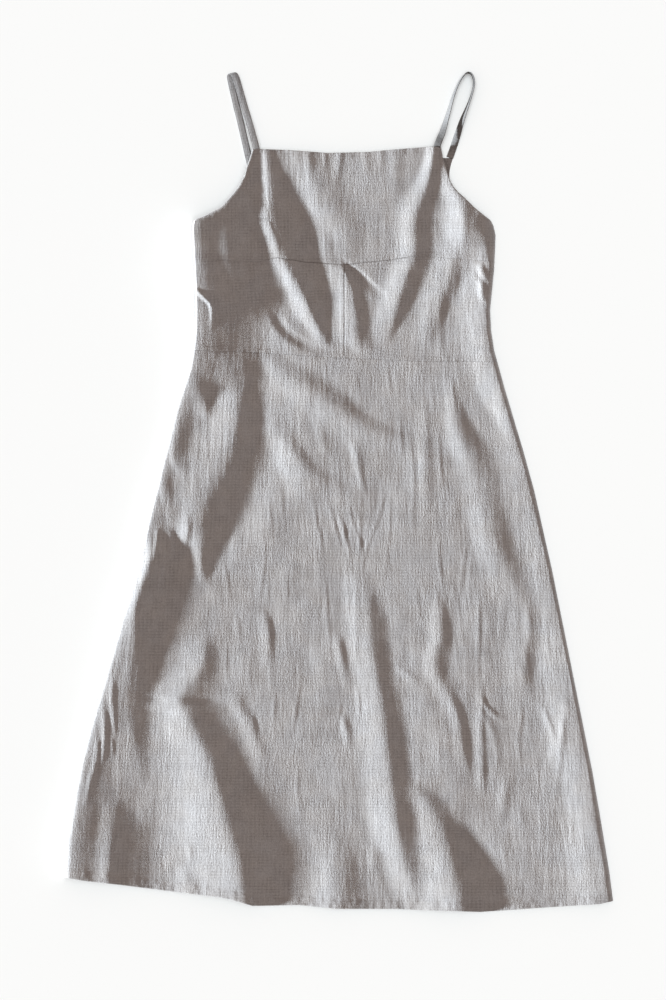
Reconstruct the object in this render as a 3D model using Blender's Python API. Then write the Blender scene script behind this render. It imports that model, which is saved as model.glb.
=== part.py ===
# Slip dress laid flat: a square-necked, A-line dress in crinkled checked cloth,
# two narrow shoulder straps, a seam under the bust, a short seam down the centre
# front and a seam round the waist.  The back lies flat on the surface; the front
# lies over it in soft folds.  Metres, +Z up, the hem towards -Y.
import bpy, bmesh, math
import numpy as np

for thing in list(bpy.data.objects):
    bpy.data.objects.remove(thing, do_unlink=True)

# ------------------------------------------------------------------ sizes
STEP = 0.00145            # one chart step; the tables below are drawn in chart steps
CHART_X, CHART_Y = 338.83, 491.6   # the chart point that lies over the origin
MIDDLE_X, MIDDLE_Y = 333.0, 500.0  # chart point that raised cloth is drawn towards
DRAWN_IN = 2200.0         # mm
MM = 0.001
WALL = 1.2                # mm, cloth wall of every panel
GAP = 0.3                 # mm, left open at every seam
REST = WALL + GAP + WALL / 2      # mm, middle of the front where it meets the back
CENTRE = 344.5            # chart x of the centre front seam
STRAP_WIDE, STRAP_THICK = 10.0, 1.5   # mm

# outline of the garment: down = chart y, left/right = chart x of its two edges
EDGE = (
    (147, 253.2, 441), (158, 249.8, 443), (167, 246.6, 446), (174, 245, 448), (180, 242, 450),
    (186, 239, 453), (192, 234, 458), (198, 229, 465), (204, 224, 471), (208, 220, 475),
    (212, 212, 480), (216, 204, 485), (219, 196, 489), (221, 193.5, 491), (226, 192, 493.5),
    (235, 192, 495.5), (250, 193, 495), (270, 194, 494), (290, 195, 492), (310, 195, 490),
    (330, 195, 491), (350, 193, 494), (370, 189, 499.5), (390, 182, 505), (410, 176, 511),
    (450, 166, 523), (490, 156, 534), (530, 146, 543), (570, 137, 552), (610, 124.5, 560),
    (650, 113, 568), (690, 101, 576), (730, 89, 584), (770, 79, 592), (810, 71.5, 599),
    (840, 66, 604), (870, 64.5, 609), (900, 65, 613))
# lines that run across: across = chart x, down = chart y
NECKLINE = ((240, 149), (259, 149), (288, 150), (328, 153), (368, 152), (400, 149), (432, 146.5), (446, 147.5))
BUST_SEAM = ((190, 259), (257, 262), (278, 257.5), (304, 262), (345, 264.5), (390, 260), (412, 256.5), (436, 257), (497, 262))
WAIST_SEAM = ((188, 350), (247, 352), (345, 358), (419, 361), (500, 362))
HEM = ((60, 876), (66, 878), (84, 881), (120, 885), (168, 891), (216, 897), (228, 899), (252, 906),
       (300, 905), (336, 909), (396, 909), (444, 911), (480, 912), (552, 907), (600, 904), (613, 901))
BACK_TOP = ((240, 166), (254, 166), (345, 162), (441, 158), (460, 158))
BACK_EDGE = ((147, 246.5, 453), (158, 246.5, 453), (165, 246.5, 450.8), (171, 247, 449.6), (177, 246.5, 449.3), (186, 241, 451.5))

# the roll along each side: down, height mm, width inwards, width of the outer face
ROLL_LEFT = (
    (149, 5, 9, 0.5), (180, 10, 19, 0.5), (205, 20, 38, 0.5), (222, 31, 72, 2), (240, 34, 80, 2.5),
    (262, 34, 80, 2.5), (285, 32, 80, 2.5), (305, 27, 78, 3), (330, 18.5, 68, 3), (350, 16.5, 60, 3), (376, 17, 58, 4),
    (391, 16, 46, 5), (400, 9, 30, 5), (407, 5, 30, 5), (420, 4, 30, 4), (440, 4, 34, 4),
    (465, 7, 46, 4), (500, 10, 54, 4), (525, 11.5, 50, 4), (545, 10.5, 38, 5), (565, 9, 30, 5), (583, 11, 34, 4.5), (600, 14, 38, 4), (620, 15, 40, 4.5),
    (650, 14, 44, 5), (680, 12, 44, 6), (700, 10.5, 44, 6), (740, 8, 44, 7), (770, 7, 46, 7), (790, 8.5, 52, 7),
    (810, 12, 62, 8), (835, 17, 70, 8), (860, 18.5, 72, 8), (910, 18, 72, 8))
ROLL_RIGHT = (
    (149, 0, 20, 1), (180, 2, 14, 1), (205, 5, 24, 3), (216, 7, 30, 12), (225, 8, 34, 19), (235, 8, 34, 17),
    (245, 8, 36, 12), (262, 8, 34, 6), (280, 8, 34, 4.5), (300, 8, 34, 4), (340, 8, 32, 4), (370, 8, 32, 4), (392, 7.5, 28, 4.5), (412, 6, 20, 5),
    (430, 3.5, 16, 6), (445, 2.5, 20, 7), (500, 2.5, 24, 8), (560, 2.5, 26, 6), (610, 4.5, 34, 5), (650, 6, 38, 4), (700, 7, 40, 4.5),
    (760, 8, 42, 5), (840, 8.6, 46, 5.5), (900, 8.6, 46, 6))
LOW = 0.635                # the tables' heights of rolls and folds are taken times this
# loft of the front above the back between its folds: down, height mm
LOFT = ((149, 5.5), (200, 5.5), (260, 5.5), (340, 4.5), (380, 5), (500, 5.5), (700, 6), (900, 6.5))

# folds: name, way the crest runs, how crisp it is, then one row per station:
# station along the run, crest across it, rise mm, width before, width after
FOLDS = (
    ("bust ridge left", "down", .35, ((138, 265, 3, 10, 12), (152, 266, 3.6, 10, 13), (165, 267.5, 5, 11, 15), (180, 269, 6.8, 13, 18), (200, 270, 8.6, 16, 22), (215, 269.5, 11, 18, 28), (228, 271.5, 13, 19, 34), (240, 276, 13.4, 20, 35), (260, 283, 12.6, 20, 32), (280, 294, 11.4, 20, 26), (300, 305, 9.8, 19, 22), (315, 312, 7.6, 17, 16), (326, 317.5, 5.4, 14, 12), (338, 322.5, 2.8, 12, 9), (350, 328, 0, 12, 9))),
    ("bust tuck", "down", .1, ((214, 314, 0, 10, 10), (226, 317.5, 1.2, 10, 12), (240, 322, 1.6, 10, 12), (256, 323, 1.2, 10, 10), (268, 323, 0, 8, 8))),
    ("bust hollow", "down", 0, ((170, 288, 0, 14, 18), (195, 293, -3, 18, 22), (225, 303, -5.5, 24, 26), (255, 309, -5.5, 24, 22), (285, 318, -4.5, 20, 16), (310, 324, -3, 16, 12), (332, 324, 0, 12, 10))),
    ("bust ridge right", "down", .4, ((138, 434, 4, 9, 8), (152, 433, 4.8, 9, 9), (168, 430.5, 5.6, 11, 11), (182, 427.5, 5.8, 14, 12), (198, 421, 6.2, 17, 15), (212, 415.5, 7, 18, 17), (228, 413.5, 7.1, 19, 18), (242, 414, 7, 20, 17), (257, 413, 6.8, 20, 17), (270, 408, 6.8, 20, 17), (285, 403, 6.4, 20, 16), (300, 398, 5.8, 20, 15), (315, 394, 4.6, 20, 13), (326, 391, 3.2, 18, 10), (338, 388, 1, 14, 8), (346, 386, 0, 12, 8))),
    ("side bulge right", "down", .1, ((165, 448, 0, 8, 8), (185, 455, 2.6, 13, 12), (210, 460, 5, 21, 22), (235, 460, 5, 23, 24), (260, 454, 4.6, 20, 22), (280, 446, 4.2, 20, 18), (300, 438, 4.2, 20, 16), (325, 431, 2.8, 20, 14), (350, 426, 0, 16, 14))),
    ("panel shoulder", "down", .1, ((146, 300, 2, 16, 20), (170, 310, 2.5, 18, 24), (195, 324, 3, 20, 28), (212, 336, 3.5, 26, 26), (226, 342, 3, 24, 26), (245, 348, 1, 18, 20), (262, 348, 0, 18, 20))),
    ("centre ridge", "down", .35, ((262, 341, 0, 14, 6), (270, 343, 3.5, 18, 7), (285, 349.5, 5, 20, 10), (300, 352, 5.5, 20, 13), (318, 354.5, 5.5, 22, 14), (335, 355, 5, 22, 16), (345, 358, 3, 16, 18), (356, 366, 0, 14, 14))),
    ("bust end hollow", "across", 0, ((268, 314, 0, 8, 8), (280, 326, -1.4, 9, 8), (292, 337, -1.8, 9, 8), (306, 345, -1.4, 8, 8), (322, 350, 0, 8, 8))),
    ("skirt 1", "down", .25, ((345, 244, 0, 50, 22), (362, 242, 3.6, 46, 20), (378, 241, 5.2, 40, 20), (400, 238.5, 5.8, 36, 20), (420, 236, 6.4, 38, 22), (440, 231, 7.8, 42, 27), (450, 227, 8.6, 42, 32), (460, 221.5, 9.6, 42, 37), (480, 213, 10, 40, 38), (500, 204.5, 10.3, 38, 40), (512, 200.5, 10.3, 36, 40), (522, 198, 9.8, 32, 38), (532, 198, 8.8, 26, 34), (542, 199.5, 7, 22, 28), (555, 200.5, 5.2, 16, 20), (570, 202, 3.4, 12, 12), (588, 205, 0, 10, 8))),
    ("skirt 1 hollow", "down", 0, ((380, 256, 0, 18, 34), (405, 256, -3, 20, 40), (430, 256, -3.6, 22, 42), (455, 254, -4.5, 26, 42), (480, 246, -5, 28, 40), (505, 236, -5, 30, 38), (525, 228, -5, 26, 34), (545, 220, -3.5, 20, 28), (565, 213, -2, 14, 18), (585, 210, 0, 10, 12))),
    ("skirt 2", "down", .35, ((532, 151, 0, 6, 16), (541, 151.5, 3, 8, 22), (548, 152, 6, 10, 30), (556, 151.5, 9.5, 11, 36), (564, 149.5, 12, 12, 40), (577, 145.5, 12, 12, 42), (591, 140.5, 10, 12, 40), (604, 136.5, 7.4, 11, 36), (620, 135.5, 5.8, 14, 32), (640, 136, 5.5, 18, 30), (660, 135, 5, 22, 28), (680, 133.5, 4.8, 24, 26), (700, 131, 4.6, 28, 24), (720, 130, 4.6, 30, 24), (740, 132.5, 4, 32, 20), (755, 136, 3, 34, 16), (772, 138, 1.2, 34, 14), (790, 139, 0, 34, 14))),
    ("skirt 3", "down", .5, ((630, 205, 0, 16, 12), (645, 204, 3, 20, 14), (665, 201.5, 5, 24, 16), (680, 194, 6, 26, 20), (690, 185, 7.4, 26, 26), (700, 178, 9.6, 26, 30), (712, 186, 10.6, 30, 30), (725, 190.5, 11, 34, 30), (742, 199.5, 12, 38, 30), (770, 210.5, 13.8, 46, 33), (800, 219.5, 16.8, 54, 38), (830, 227.5, 19.4, 62, 43), (860, 235.5, 20.8, 66, 45), (885, 239.5, 19.6, 66, 43), (915, 242, 18.5, 66, 42))),
    ("skirt 4", "down", .2, ((798, 113, 0, 14, 18), (812, 114, 2.2, 16, 24), (832, 113, 4.2, 18, 34), (865, 111, 6.2, 18, 44), (910, 109, 7.2, 18, 50))),
    ("skirt 5", "down", .45, ((572, 364, 0, 24, 10), (590, 366, 2.6, 24, 12), (604, 367.5, 4.4, 24, 14), (622, 369.5, 5.6, 24, 17), (642, 371, 6, 24, 18), (660, 374, 6.2, 24, 16), (680, 377, 6.6, 26, 16), (700, 380.5, 7, 28, 17), (740, 385, 7.8, 30, 18), (780, 389.5, 9, 30, 20), (802, 392.5, 9.8, 30, 21), (825, 396, 9.8, 28, 21), (845, 400, 8.6, 26, 20), (865, 404.5, 6.6, 24, 18), (885, 410, 4, 20, 15), (902, 415, 1, 20, 10), (912, 418, 0, 20, 10))),
    ("skirt 5 foot", "down", 0, ((620, 416, 0, 16, 16), (650, 421, .8, 20, 22), (690, 428, 1.6, 26, 26), (725, 439, 1.8, 28, 30), (760, 454, 1.8, 28, 32), (795, 462, 1.4, 28, 30), (835, 468, 0, 26, 26))),
    ("skirt 6", "down", .4, ((780, 411, 0, 16, 12), (792, 418, 2.6, 20, 14), (802, 426, 3.8, 24, 17), (814, 434, 4.8, 28, 19), (828, 439.5, 6, 32, 21), (842, 444, 7.4, 36, 24), (862, 450.5, 10.2, 42, 32), (882, 456, 13.6, 50, 41), (902, 459.5, 16, 52, 47), (920, 461, 17, 52, 49))),
    ("skirt 6 hollow", "down", 0, ((812, 462, 0, 18, 20), (840, 472, -2.6, 22, 26), (870, 484, -3.8, 30, 30), (905, 492, -4.2, 32, 32), (925, 494, -4.2, 32, 32))),
    ("skirt 7", "down", .15, ((376, 451, 0, 10, 8), (400, 454, 1.8, 12, 9), (416, 456, 3.6, 14, 14), (432, 459, 5.6, 17, 20), (446, 465, 6.2, 19, 23), (460, 471.5, 6.2, 20, 23), (480, 477, 5.6, 20, 24), (500, 480.5, 5.4, 20, 24), (520, 486.5, 5.4, 20, 24), (540, 492.5, 5.2, 22, 23), (560, 500.5, 4.6, 24, 20), (580, 511, 3.6, 26, 16), (600, 521.5, 3.4, 26, 14), (622, 525, 3.8, 24, 14), (642, 524.5, 3.8, 22, 14), (662, 521.5, 3.2, 20, 14), (682, 520.5, 2.2, 20, 14), (712, 521, 0, 18, 14))),
    ("skirt 8", "down", .4, ((592, 438, 0, 14, 8), (612, 440, 2.5, 14, 9), (640, 440, 4, 14, 12), (658, 435, 4.6, 14, 18), (672, 436, 4.2, 14, 17), (684, 443, 3.6, 14, 13), (702, 452, 3.2, 14, 9), (722, 459, 2.6, 12, 8), (742, 462, 2.4, 12, 7), (757, 464.5, 2, 12, 7), (778, 468, 0, 12, 8))),
    ("skirt 9", "down", .2, ((828, 337, 0, 26, 20), (848, 337.5, 2.4, 28, 24), (868, 338, 4.8, 30, 29), (888, 338.5, 6.6, 30, 32), (915, 339, 7.4, 30, 33))),
    ("right fall", "down", 0, ((390, 560, 0, 150, 80), (470, 575, -2.4, 170, 90), (600, 595, -3.4, 200, 100), (760, 610, -3, 220, 100), (920, 620, -2.6, 220, 100))),
    ("waist crease 1", "across", .1, ((262, 361, 0, 12, 16), (278, 371, 2.8, 16, 20), (300, 385, 4.7, 19, 26), (320, 397, 5.2, 20, 28), (340, 411, 5.2, 20, 28), (356, 423, 4.7, 18, 26), (375, 431.5, 3.6, 15, 22), (400, 438.5, 2.4, 12, 18), (430, 441, 0, 10, 14))),
    ("waist crease 2", "across", 0, ((266, 422, 0, 14, 18), (283, 444, 2.6, 18, 26), (295, 460, 3.8, 19, 29), (307, 473, 3.8, 18, 28), (322, 481, 2.6, 15, 22), (350, 486, 0, 8, 14))),
)


# -------------------------------------------------------------- functions
def column(rows, at, k):
    """Value of column k of a table at station `at`, joined by straight lines."""
    t = np.array(rows, float)
    return np.interp(at, t[:, 0], t[:, k])


def flowing(rows, at, k):
    """The same through a smooth curve."""
    t = np.array(rows, float)
    a, v = t[:, 0], t[:, k]
    d = np.diff(v) / np.diff(a)
    m = np.empty_like(v)
    m[0], m[-1] = d[0], d[-1]
    m[1:-1] = (d[:-1] + d[1:]) / 2
    i = np.clip(np.searchsorted(a, at) - 1, 0, len(a) - 2)
    h = a[i + 1] - a[i]
    u = np.clip((at - a[i]) / h, 0, 1)
    return ((2 * u**3 - 3 * u**2 + 1) * v[i] + (u**3 - 2 * u**2 + u) * h * m[i]
            + (-2 * u**3 + 3 * u**2) * v[i + 1] + (u**3 - u**2) * h * m[i + 1])


def ease(t):
    t = np.clip(t, 0, 1)
    return t * t * (3 - 2 * t)


def crest(t, crisp):
    """Cross profile of a fold: 1 on the crest, 0 at its foot (t = 1)."""
    t = np.abs(t)
    soft = 0.5 * (1 + np.cos(np.pi * np.clip(t, 0, 1)))
    tent = np.clip(1.0 - (np.sqrt(t * t + 0.012) - 0.11), 0, 1)
    tent = tent * tent * (1.4 - 0.4 * tent) * 0.5 + tent * 0.5
    return (1 - crisp) * soft + crisp * np.where(t < 1.05, tent, 0)


def fold_rise(fold, x, y):
    name, runs, crisp, rows = fold
    s, c = (y, x) if runs == "down" else (x, y)
    z = np.zeros_like(x)
    on = (s >= rows[0][0]) & (s <= rows[-1][0])
    if not on.any():
        return z
    ss, cc = s[on], c[on]
    line = flowing(rows, ss, 1)
    lean = flowing(rows, ss + 0.5, 1) - flowing(rows, ss - 0.5, 1)
    off = (cc - line) / np.sqrt(1 + lean * lean)
    wide = np.where(off < 0, flowing(rows, ss, 3), flowing(rows, ss, 4))
    z[on] = LOW * flowing(rows, ss, 2) * crest(off / wide, crisp)
    return z


def height(x, y):
    """Height in mm of the middle of the front's cloth over chart point x, y."""
    x, y = np.asarray(x, float), np.asarray(y, float)
    dl = np.maximum(x - column(EDGE, y, 1), 0)
    dr = np.maximum(column(EDGE, y, 2) - x, 0)
    hl, wl, fl = (column(ROLL_LEFT, y, k) for k in (1, 2, 3))
    hr, wr, fr = (column(ROLL_RIGHT, y, k) for k in (1, 2, 3))
    z = column(LOFT, y, 1)
    z = z + LOW * hl * crest(np.where(dl < fl, 0, (dl - fl) / wl), 0.6)
    z = z + LOW * hr * crest(np.where(dr < fr, 0, (dr - fr) / wr), 0.2)
    for fold in FOLDS:
        z = z + fold_rise(fold, x, y)
    z = np.where(z > 1.5, z, 1.5 * np.exp(np.minimum(z - 1.5, 0) / 1.5))
    el = (1 - (1 - np.clip(dl / fl, 0, 1))**3.5)**(1 / 3.5)
    er = np.sqrt(1 - (1 - np.clip(dr / fr, 0, 1))**2)
    seam = ease((y - 213) / 12.0)       # below the armhole the front is sewn to the back
    return REST + z * ((1 - seam) + seam * el * er)


def place(x, y, z):
    """Chart point and height in mm to metres.  Cloth raised into a fold is drawn in
    towards the middle of the dress by its height over DRAWN_IN."""
    inward = 1 - z / DRAWN_IN
    return np.stack([(MIDDLE_X + (x - MIDDLE_X) * inward - CHART_X) * STEP,
                     (CHART_Y - MIDDLE_Y - (y - MIDDLE_Y) * inward) * STEP, z * MM], -1)


def lean_at(x, y):
    """Unit normal of the front over chart point x, y."""
    e = 1.5
    gx = (height(x + e, y) - height(x - e, y)) * MM / (2 * e * STEP)
    gy = -(height(x, y + e) - height(x, y - e)) * MM / (2 * e * STEP)
    n = np.stack([-gx, -gy, np.ones_like(gx)], -1)
    return n / np.linalg.norm(n, axis=-1, keepdims=True)


def solid(name, verts, faces, colour):
    mesh = bpy.data.meshes.new(name)
    mesh.from_pydata([tuple(v) for v in verts], [], faces)
    bm = bmesh.new()
    bm.from_mesh(mesh)
    bmesh.ops.triangulate(bm, faces=bm.faces[:])
    bmesh.ops.recalc_face_normals(bm, faces=bm.faces[:])
    bm.to_mesh(mesh)
    bm.free()
    mat = bpy.data.materials.new(name + "_cloth")
    mat.use_nodes = True
    shader = mat.node_tree.nodes["Principled BSDF"]
    shader.inputs["Base Color"].default_value = (*colour, 1.0)
    shader.inputs["Roughness"].default_value = 0.9
    mesh.materials.append(mat)
    thing = bpy.data.objects.new(name, mesh)
    bpy.context.scene.collection.objects.link(thing)
    return thing


def walled(name, top, bottom, colour):
    """A panel between two grids of points, rows x columns, closed round its rim."""
    rows, cols = top.shape[:2]
    n = rows * cols
    verts = np.concatenate([top.reshape(-1, 3), bottom.reshape(-1, 3)])
    faces = []
    for r in range(rows - 1):
        for c in range(cols - 1):
            a = r * cols + c
            quad = (a, a + 1, a + cols + 1, a + cols)
            faces.append(quad)
            faces.append(tuple(n + q for q in reversed(quad)))
    rim = ([c for c in range(cols)] + [r * cols + cols - 1 for r in range(1, rows)]
           + [(rows - 1) * cols + c for c in range(cols - 2, -1, -1)] + [r * cols for r in range(rows - 2, 0, -1)])
    for a, b in zip(rim, rim[1:] + rim[:1]):
        faces.append((b, a, n + a, n + b))
    return solid(name, verts, faces, colour)


def front_panel(name, x, y, colour):
    middle = place(x, y, height(x, y))
    lean = lean_at(x, y)
    half = lean * WALL / 2 * MM
    return walled(name, middle + half, middle - half, colour)


def spread(n, close):
    """n+1 stations from 0 to 1, closest together by the side edge (at 0)."""
    t = np.linspace(0, 1, n + 1)
    return t * (1 - close) + close * t**2.2


def across(y, cols, left, right):
    """Chart x for each column (-1 left edge, 0 centre front, 1 right edge)."""
    return np.where(cols < 0, CENTRE + cols * (CENTRE - left), CENTRE + cols * (right - CENTRE))


def panel_grid(cols, levels, upper, lower, trim_top, trim_bottom, trim_side):
    """Chart points of a panel between two running lines, and the two edges."""
    def on_line(line):
        y = np.full_like(cols, column(line, CENTRE, 1))
        for _ in range(12):
            x = across(y, cols, column(EDGE, y, 1), column(EDGE, y, 2))
            y = column(line, x, 1)
        return y
    y0, y1 = on_line(upper) + trim_top, on_line(lower) - trim_bottom
    y = y0[None, :] + (y1 - y0)[None, :] * np.array(levels)[:, None]
    c = np.broadcast_to(cols, y.shape)
    return across(y, c, column(EDGE, y, 1) + trim_side, column(EDGE, y, 2) - trim_side), y


CLOTH = (0.39, 0.375, 0.375)
HALF = 20                                   # columns in each half of the front
side = spread(HALF, 0.62)
left_cols = -1 + side                       # -1 ... 0
right_cols = (1 - side)[::-1]               # 0 ... 1
all_cols = np.concatenate([left_cols, right_cols[1:]])
seam = GAP / 2 / (STEP / MM)                # half a seam's opening in chart steps

UPPER_LEVELS = (0, .10, .20, .30, .39, .46, .52, .565, .605, .64, .68, .78, .89, 1)
LOWER_LEVELS = tuple(np.linspace(0, 1, 9))
SKIRT_LEVELS = tuple(np.linspace(0, 1, 26))

x, y = panel_grid(all_cols, UPPER_LEVELS, NECKLINE, BUST_SEAM, 0, seam, 0)
front_panel("front_bodice_upper", x, y, CLOTH)

x, y = panel_grid(left_cols, LOWER_LEVELS, BUST_SEAM, WAIST_SEAM, seam, seam, 0)
x[:, -1] -= seam
front_panel("front_bodice_lower_left", x, y, CLOTH)

x, y = panel_grid(right_cols, LOWER_LEVELS, BUST_SEAM, WAIST_SEAM, seam, seam, 0)
x[:, 0] += seam
front_panel("front_bodice_lower_right", x, y, CLOTH)

x, y = panel_grid(all_cols, SKIRT_LEVELS, WAIST_SEAM, HEM, seam, 0, 0)
front_panel("front_skirt", x, y, CLOTH)


def back_panel(name, levels, upper, lower, trim_top, trim_bottom, colour, own_edge=False):
    """The back lies flat on the surface: a plate of one wall's thickness."""
    cols = np.linspace(-1, 1, 7)

    def edges(y):
        l, r = column(EDGE, y, 1), column(EDGE, y, 2)
        if own_edge:
            up = y < 186
            l = np.where(up, column(BACK_EDGE, y, 1), l + 1.5 * (y < 218))
            r = np.where(up, column(BACK_EDGE, y, 2), r - 1.5 * (y < 218))
        return l, r

    def on_line(line):
        y = np.full_like(cols, column(line, CENTRE, 1))
        for _ in range(12):
            x = across(y, cols, *edges(y))
            y = column(line, x, 1)
        return y
    y0, y1 = on_line(upper) + trim_top, on_line(lower) - trim_bottom
    y = y0[None, :] + (y1 - y0)[None, :] * np.array(levels)[:, None]
    x = across(y, np.broadcast_to(cols, y.shape), *edges(y))
    z = np.zeros_like(x)
    return walled(name, place(x, y, z + WALL), place(x, y, z), colour)


BACK_BODICE_LEVELS = (0, .05, .10, .15, .20, .235, .26, .285, .30, .31, .35, .40, .55, .75, .9, 1)
BACK_SKIRT_LEVELS = tuple(np.linspace(0, 1, 15))
back_panel("back_bodice", BACK_BODICE_LEVELS, BACK_TOP, WAIST_SEAM, 0, seam, CLOTH, own_edge=True)
back_panel("back_skirt", BACK_SKIRT_LEVELS, WAIST_SEAM, HEM, seam, 0, CLOTH)


# ----------------------------------------------------------------- straps
# each strap is one flat tube, from the corner of the neckline to the back's top
# edge: chart x, chart y, height mm, turn of the tube about its own length in
# degrees (0 lies flat, 90 stands on its edge, 180 lies flat, other face up)
neck_left = float(height(np.array([256.3]), np.array([149.0]))[0])
neck_right = float(height(np.array([437.2]), np.array([147.0]))[0])
STRAP_LEFT = (
    (256.3, 148.8, neck_left, 0), (253.6, 138.5, neck_left - 2.2, 0), (250.2, 126.5, 7.0, 0),
    (246.6, 114.0, 5.0, 0), (243.0, 102.0, 4.2, 0), (239.6, 90.0, 4.0, 0), (236.8, 80.5, 4.0, 0),
    (235.0, 75.6, 3.9, 0), (233.8, 73.9, 3.3, 0), (232.4, 73.3, 2.4, 0), (231.0, 74.0, 1.4, 0),
    (230.3, 76.2, 0.95, 0), (231.2, 82.0, 0.85, 0), (233.4, 92.0, 0.85, 0), (236.6, 106.0, 0.85, 0),
    (239.8, 119.0, 0.85, 0), (242.6, 131.0, 0.85, 0), (245.6, 144.0, 0.85, 0), (248.2, 155.5, 0.85, 0), (250.3, 165.2, 0.85, 0))
STRAP_RIGHT = (
    (437.2, 146.7, neck_right, 0), (438.4, 142.6, neck_right, 8), (440.3, 137.6, neck_right - .2, 18), (442.6, 132.0, neck_right - .4, 32), (446.2, 120.0, 5.0, 54),
    (449.8, 108.0, 5.1, 67), (453.4, 96.0, 5.3, 76), (458.2, 84.0, 5.5, 80), (462.6, 76.8, 5.6, 84),
    (466.2, 73.2, 5.7, 88), (469.4, 72.8, 5.7, 91), (472.2, 75.2, 5.7, 94), (473.8, 80.0, 5.6, 98),
    (473.8, 86.0, 5.5, 101), (471.2, 96.0, 5.3, 105), (466.8, 108.0, 5.1, 117), (462.2, 120.0, 4.4, 136),
    (458.4, 132.0, 3.5, 150), (454.6, 144.0, 2.3, 166), (452.0, 151.6, 1.45, 176), (449.8, 157.8, 0.95, 180))


def strap(name, rows, colour, folded=False):
    """A flat tube swept along its stations; both ends are cut level with the chart.
    A folded strap keeps its width lying one way and doubles back under itself."""
    t = np.array(rows, float)
    table = np.column_stack([np.arange(len(t), dtype=float), t])
    at = np.linspace(0, len(t) - 1, (len(t) - 1) * 2 + 1)
    x, y, z, turn = (flowing(table, at, k) for k in (1, 2, 3, 4))
    path = place(x, y, z)
    run = np.gradient(path, axis=0)
    run /= np.linalg.norm(run, axis=1, keepdims=True)
    wide, thick = STRAP_WIDE / 2 * MM, STRAP_THICK / 2 * MM
    section = ((wide, thick * .5), (wide * .86, thick), (-wide * .86, thick), (-wide, thick * .5),
               (-wide, -thick * .5), (-wide * .86, -thick), (wide * .86, -thick), (wide, -thick * .5))
    verts, faces, k = [], [], len(section)
    level = np.cross(run[0], (0, 0, 1.0))
    for i, (p, d, a) in enumerate(zip(path, run, np.radians(turn))):
        if not folded:
            level = level - d * np.dot(level, d)
        level = level / np.linalg.norm(level)
        up = np.cross(level, d)
        up = up / np.linalg.norm(up)
        w = level * math.cos(a) + up * math.sin(a)
        n = -level * math.sin(a) + up * math.cos(a)
        for u, v in section:
            q = p + w * u + n * v
            if i in (0, len(path) - 1):
                q = q - d * ((q[1] - p[1]) / d[1])
            verts.append(q)
    for i in range(len(path) - 1):
        for j in range(k):
            a, b = i * k + j, i * k + (j + 1) % k
            faces.append((a, b, b + k, a + k))
    faces.append(tuple(range(k))[::-1])
    faces.append(tuple((len(path) - 1) * k + j for j in range(k)))
    return solid(name, verts, faces, colour)


strap("strap_left", STRAP_LEFT, CLOTH, folded=True)
strap("strap_right", STRAP_RIGHT, CLOTH)
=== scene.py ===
# A slip dress in crinkled checked linen, laid flat: fine cloth, seams, turned edges and
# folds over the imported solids.  Metres, +Z up, hem towards -Y.
import bpy, bmesh, math
import numpy as np
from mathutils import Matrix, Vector


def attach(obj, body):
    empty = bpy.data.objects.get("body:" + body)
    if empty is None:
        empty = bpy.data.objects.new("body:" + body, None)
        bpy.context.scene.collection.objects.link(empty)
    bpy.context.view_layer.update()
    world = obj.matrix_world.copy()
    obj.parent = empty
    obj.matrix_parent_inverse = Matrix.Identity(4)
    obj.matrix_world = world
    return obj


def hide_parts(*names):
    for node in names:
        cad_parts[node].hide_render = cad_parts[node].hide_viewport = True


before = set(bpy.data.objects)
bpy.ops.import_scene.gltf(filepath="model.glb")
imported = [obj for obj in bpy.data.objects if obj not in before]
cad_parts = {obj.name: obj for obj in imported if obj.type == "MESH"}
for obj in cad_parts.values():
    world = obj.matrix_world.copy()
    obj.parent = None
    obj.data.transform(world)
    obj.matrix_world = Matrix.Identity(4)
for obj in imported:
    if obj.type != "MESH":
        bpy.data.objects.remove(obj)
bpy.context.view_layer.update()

# ------------------------------------------------------------------ sizes
STEP = 0.00145            # one chart step; the tables below are drawn in chart steps
CHART_X, CHART_Y = 338.83, 491.6   # the chart point that lies over the origin
MIDDLE_X, MIDDLE_Y = 333.0, 500.0  # chart point that raised cloth is drawn towards
DRAWN_IN = 2200.0         # mm
MM = 0.001
WALL = 1.2                # mm, cloth wall of every panel
GAP = 0.3                 # mm, left open at every seam
REST = WALL + GAP + WALL / 2      # mm, middle of the front where it meets the back
CENTRE = 344.5            # chart x of the centre front seam
STRAP_WIDE, STRAP_THICK = 10.0, 1.5   # mm

# outline of the garment: down = chart y, left/right = chart x of its two edges
EDGE = (
    (147, 253.2, 441), (158, 249.8, 443), (167, 246.6, 446), (174, 245, 448), (180, 242, 450),
    (186, 239, 453), (192, 234, 458), (198, 229, 465), (204, 224, 471), (208, 220, 475),
    (212, 212, 480), (216, 204, 485), (219, 196, 489), (221, 193.5, 491), (226, 192, 493.5),
    (235, 192, 495.5), (250, 193, 495), (270, 194, 494), (290, 195, 492), (310, 195, 490),
    (330, 195, 491), (350, 193, 494), (370, 189, 499.5), (390, 182, 505), (410, 176, 511),
    (450, 166, 523), (490, 156, 534), (530, 146, 543), (570, 137, 552), (610, 124.5, 560),
    (650, 113, 568), (690, 101, 576), (730, 89, 584), (770, 79, 592), (810, 71.5, 599),
    (840, 66, 604), (870, 64.5, 609), (900, 65, 613))
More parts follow.
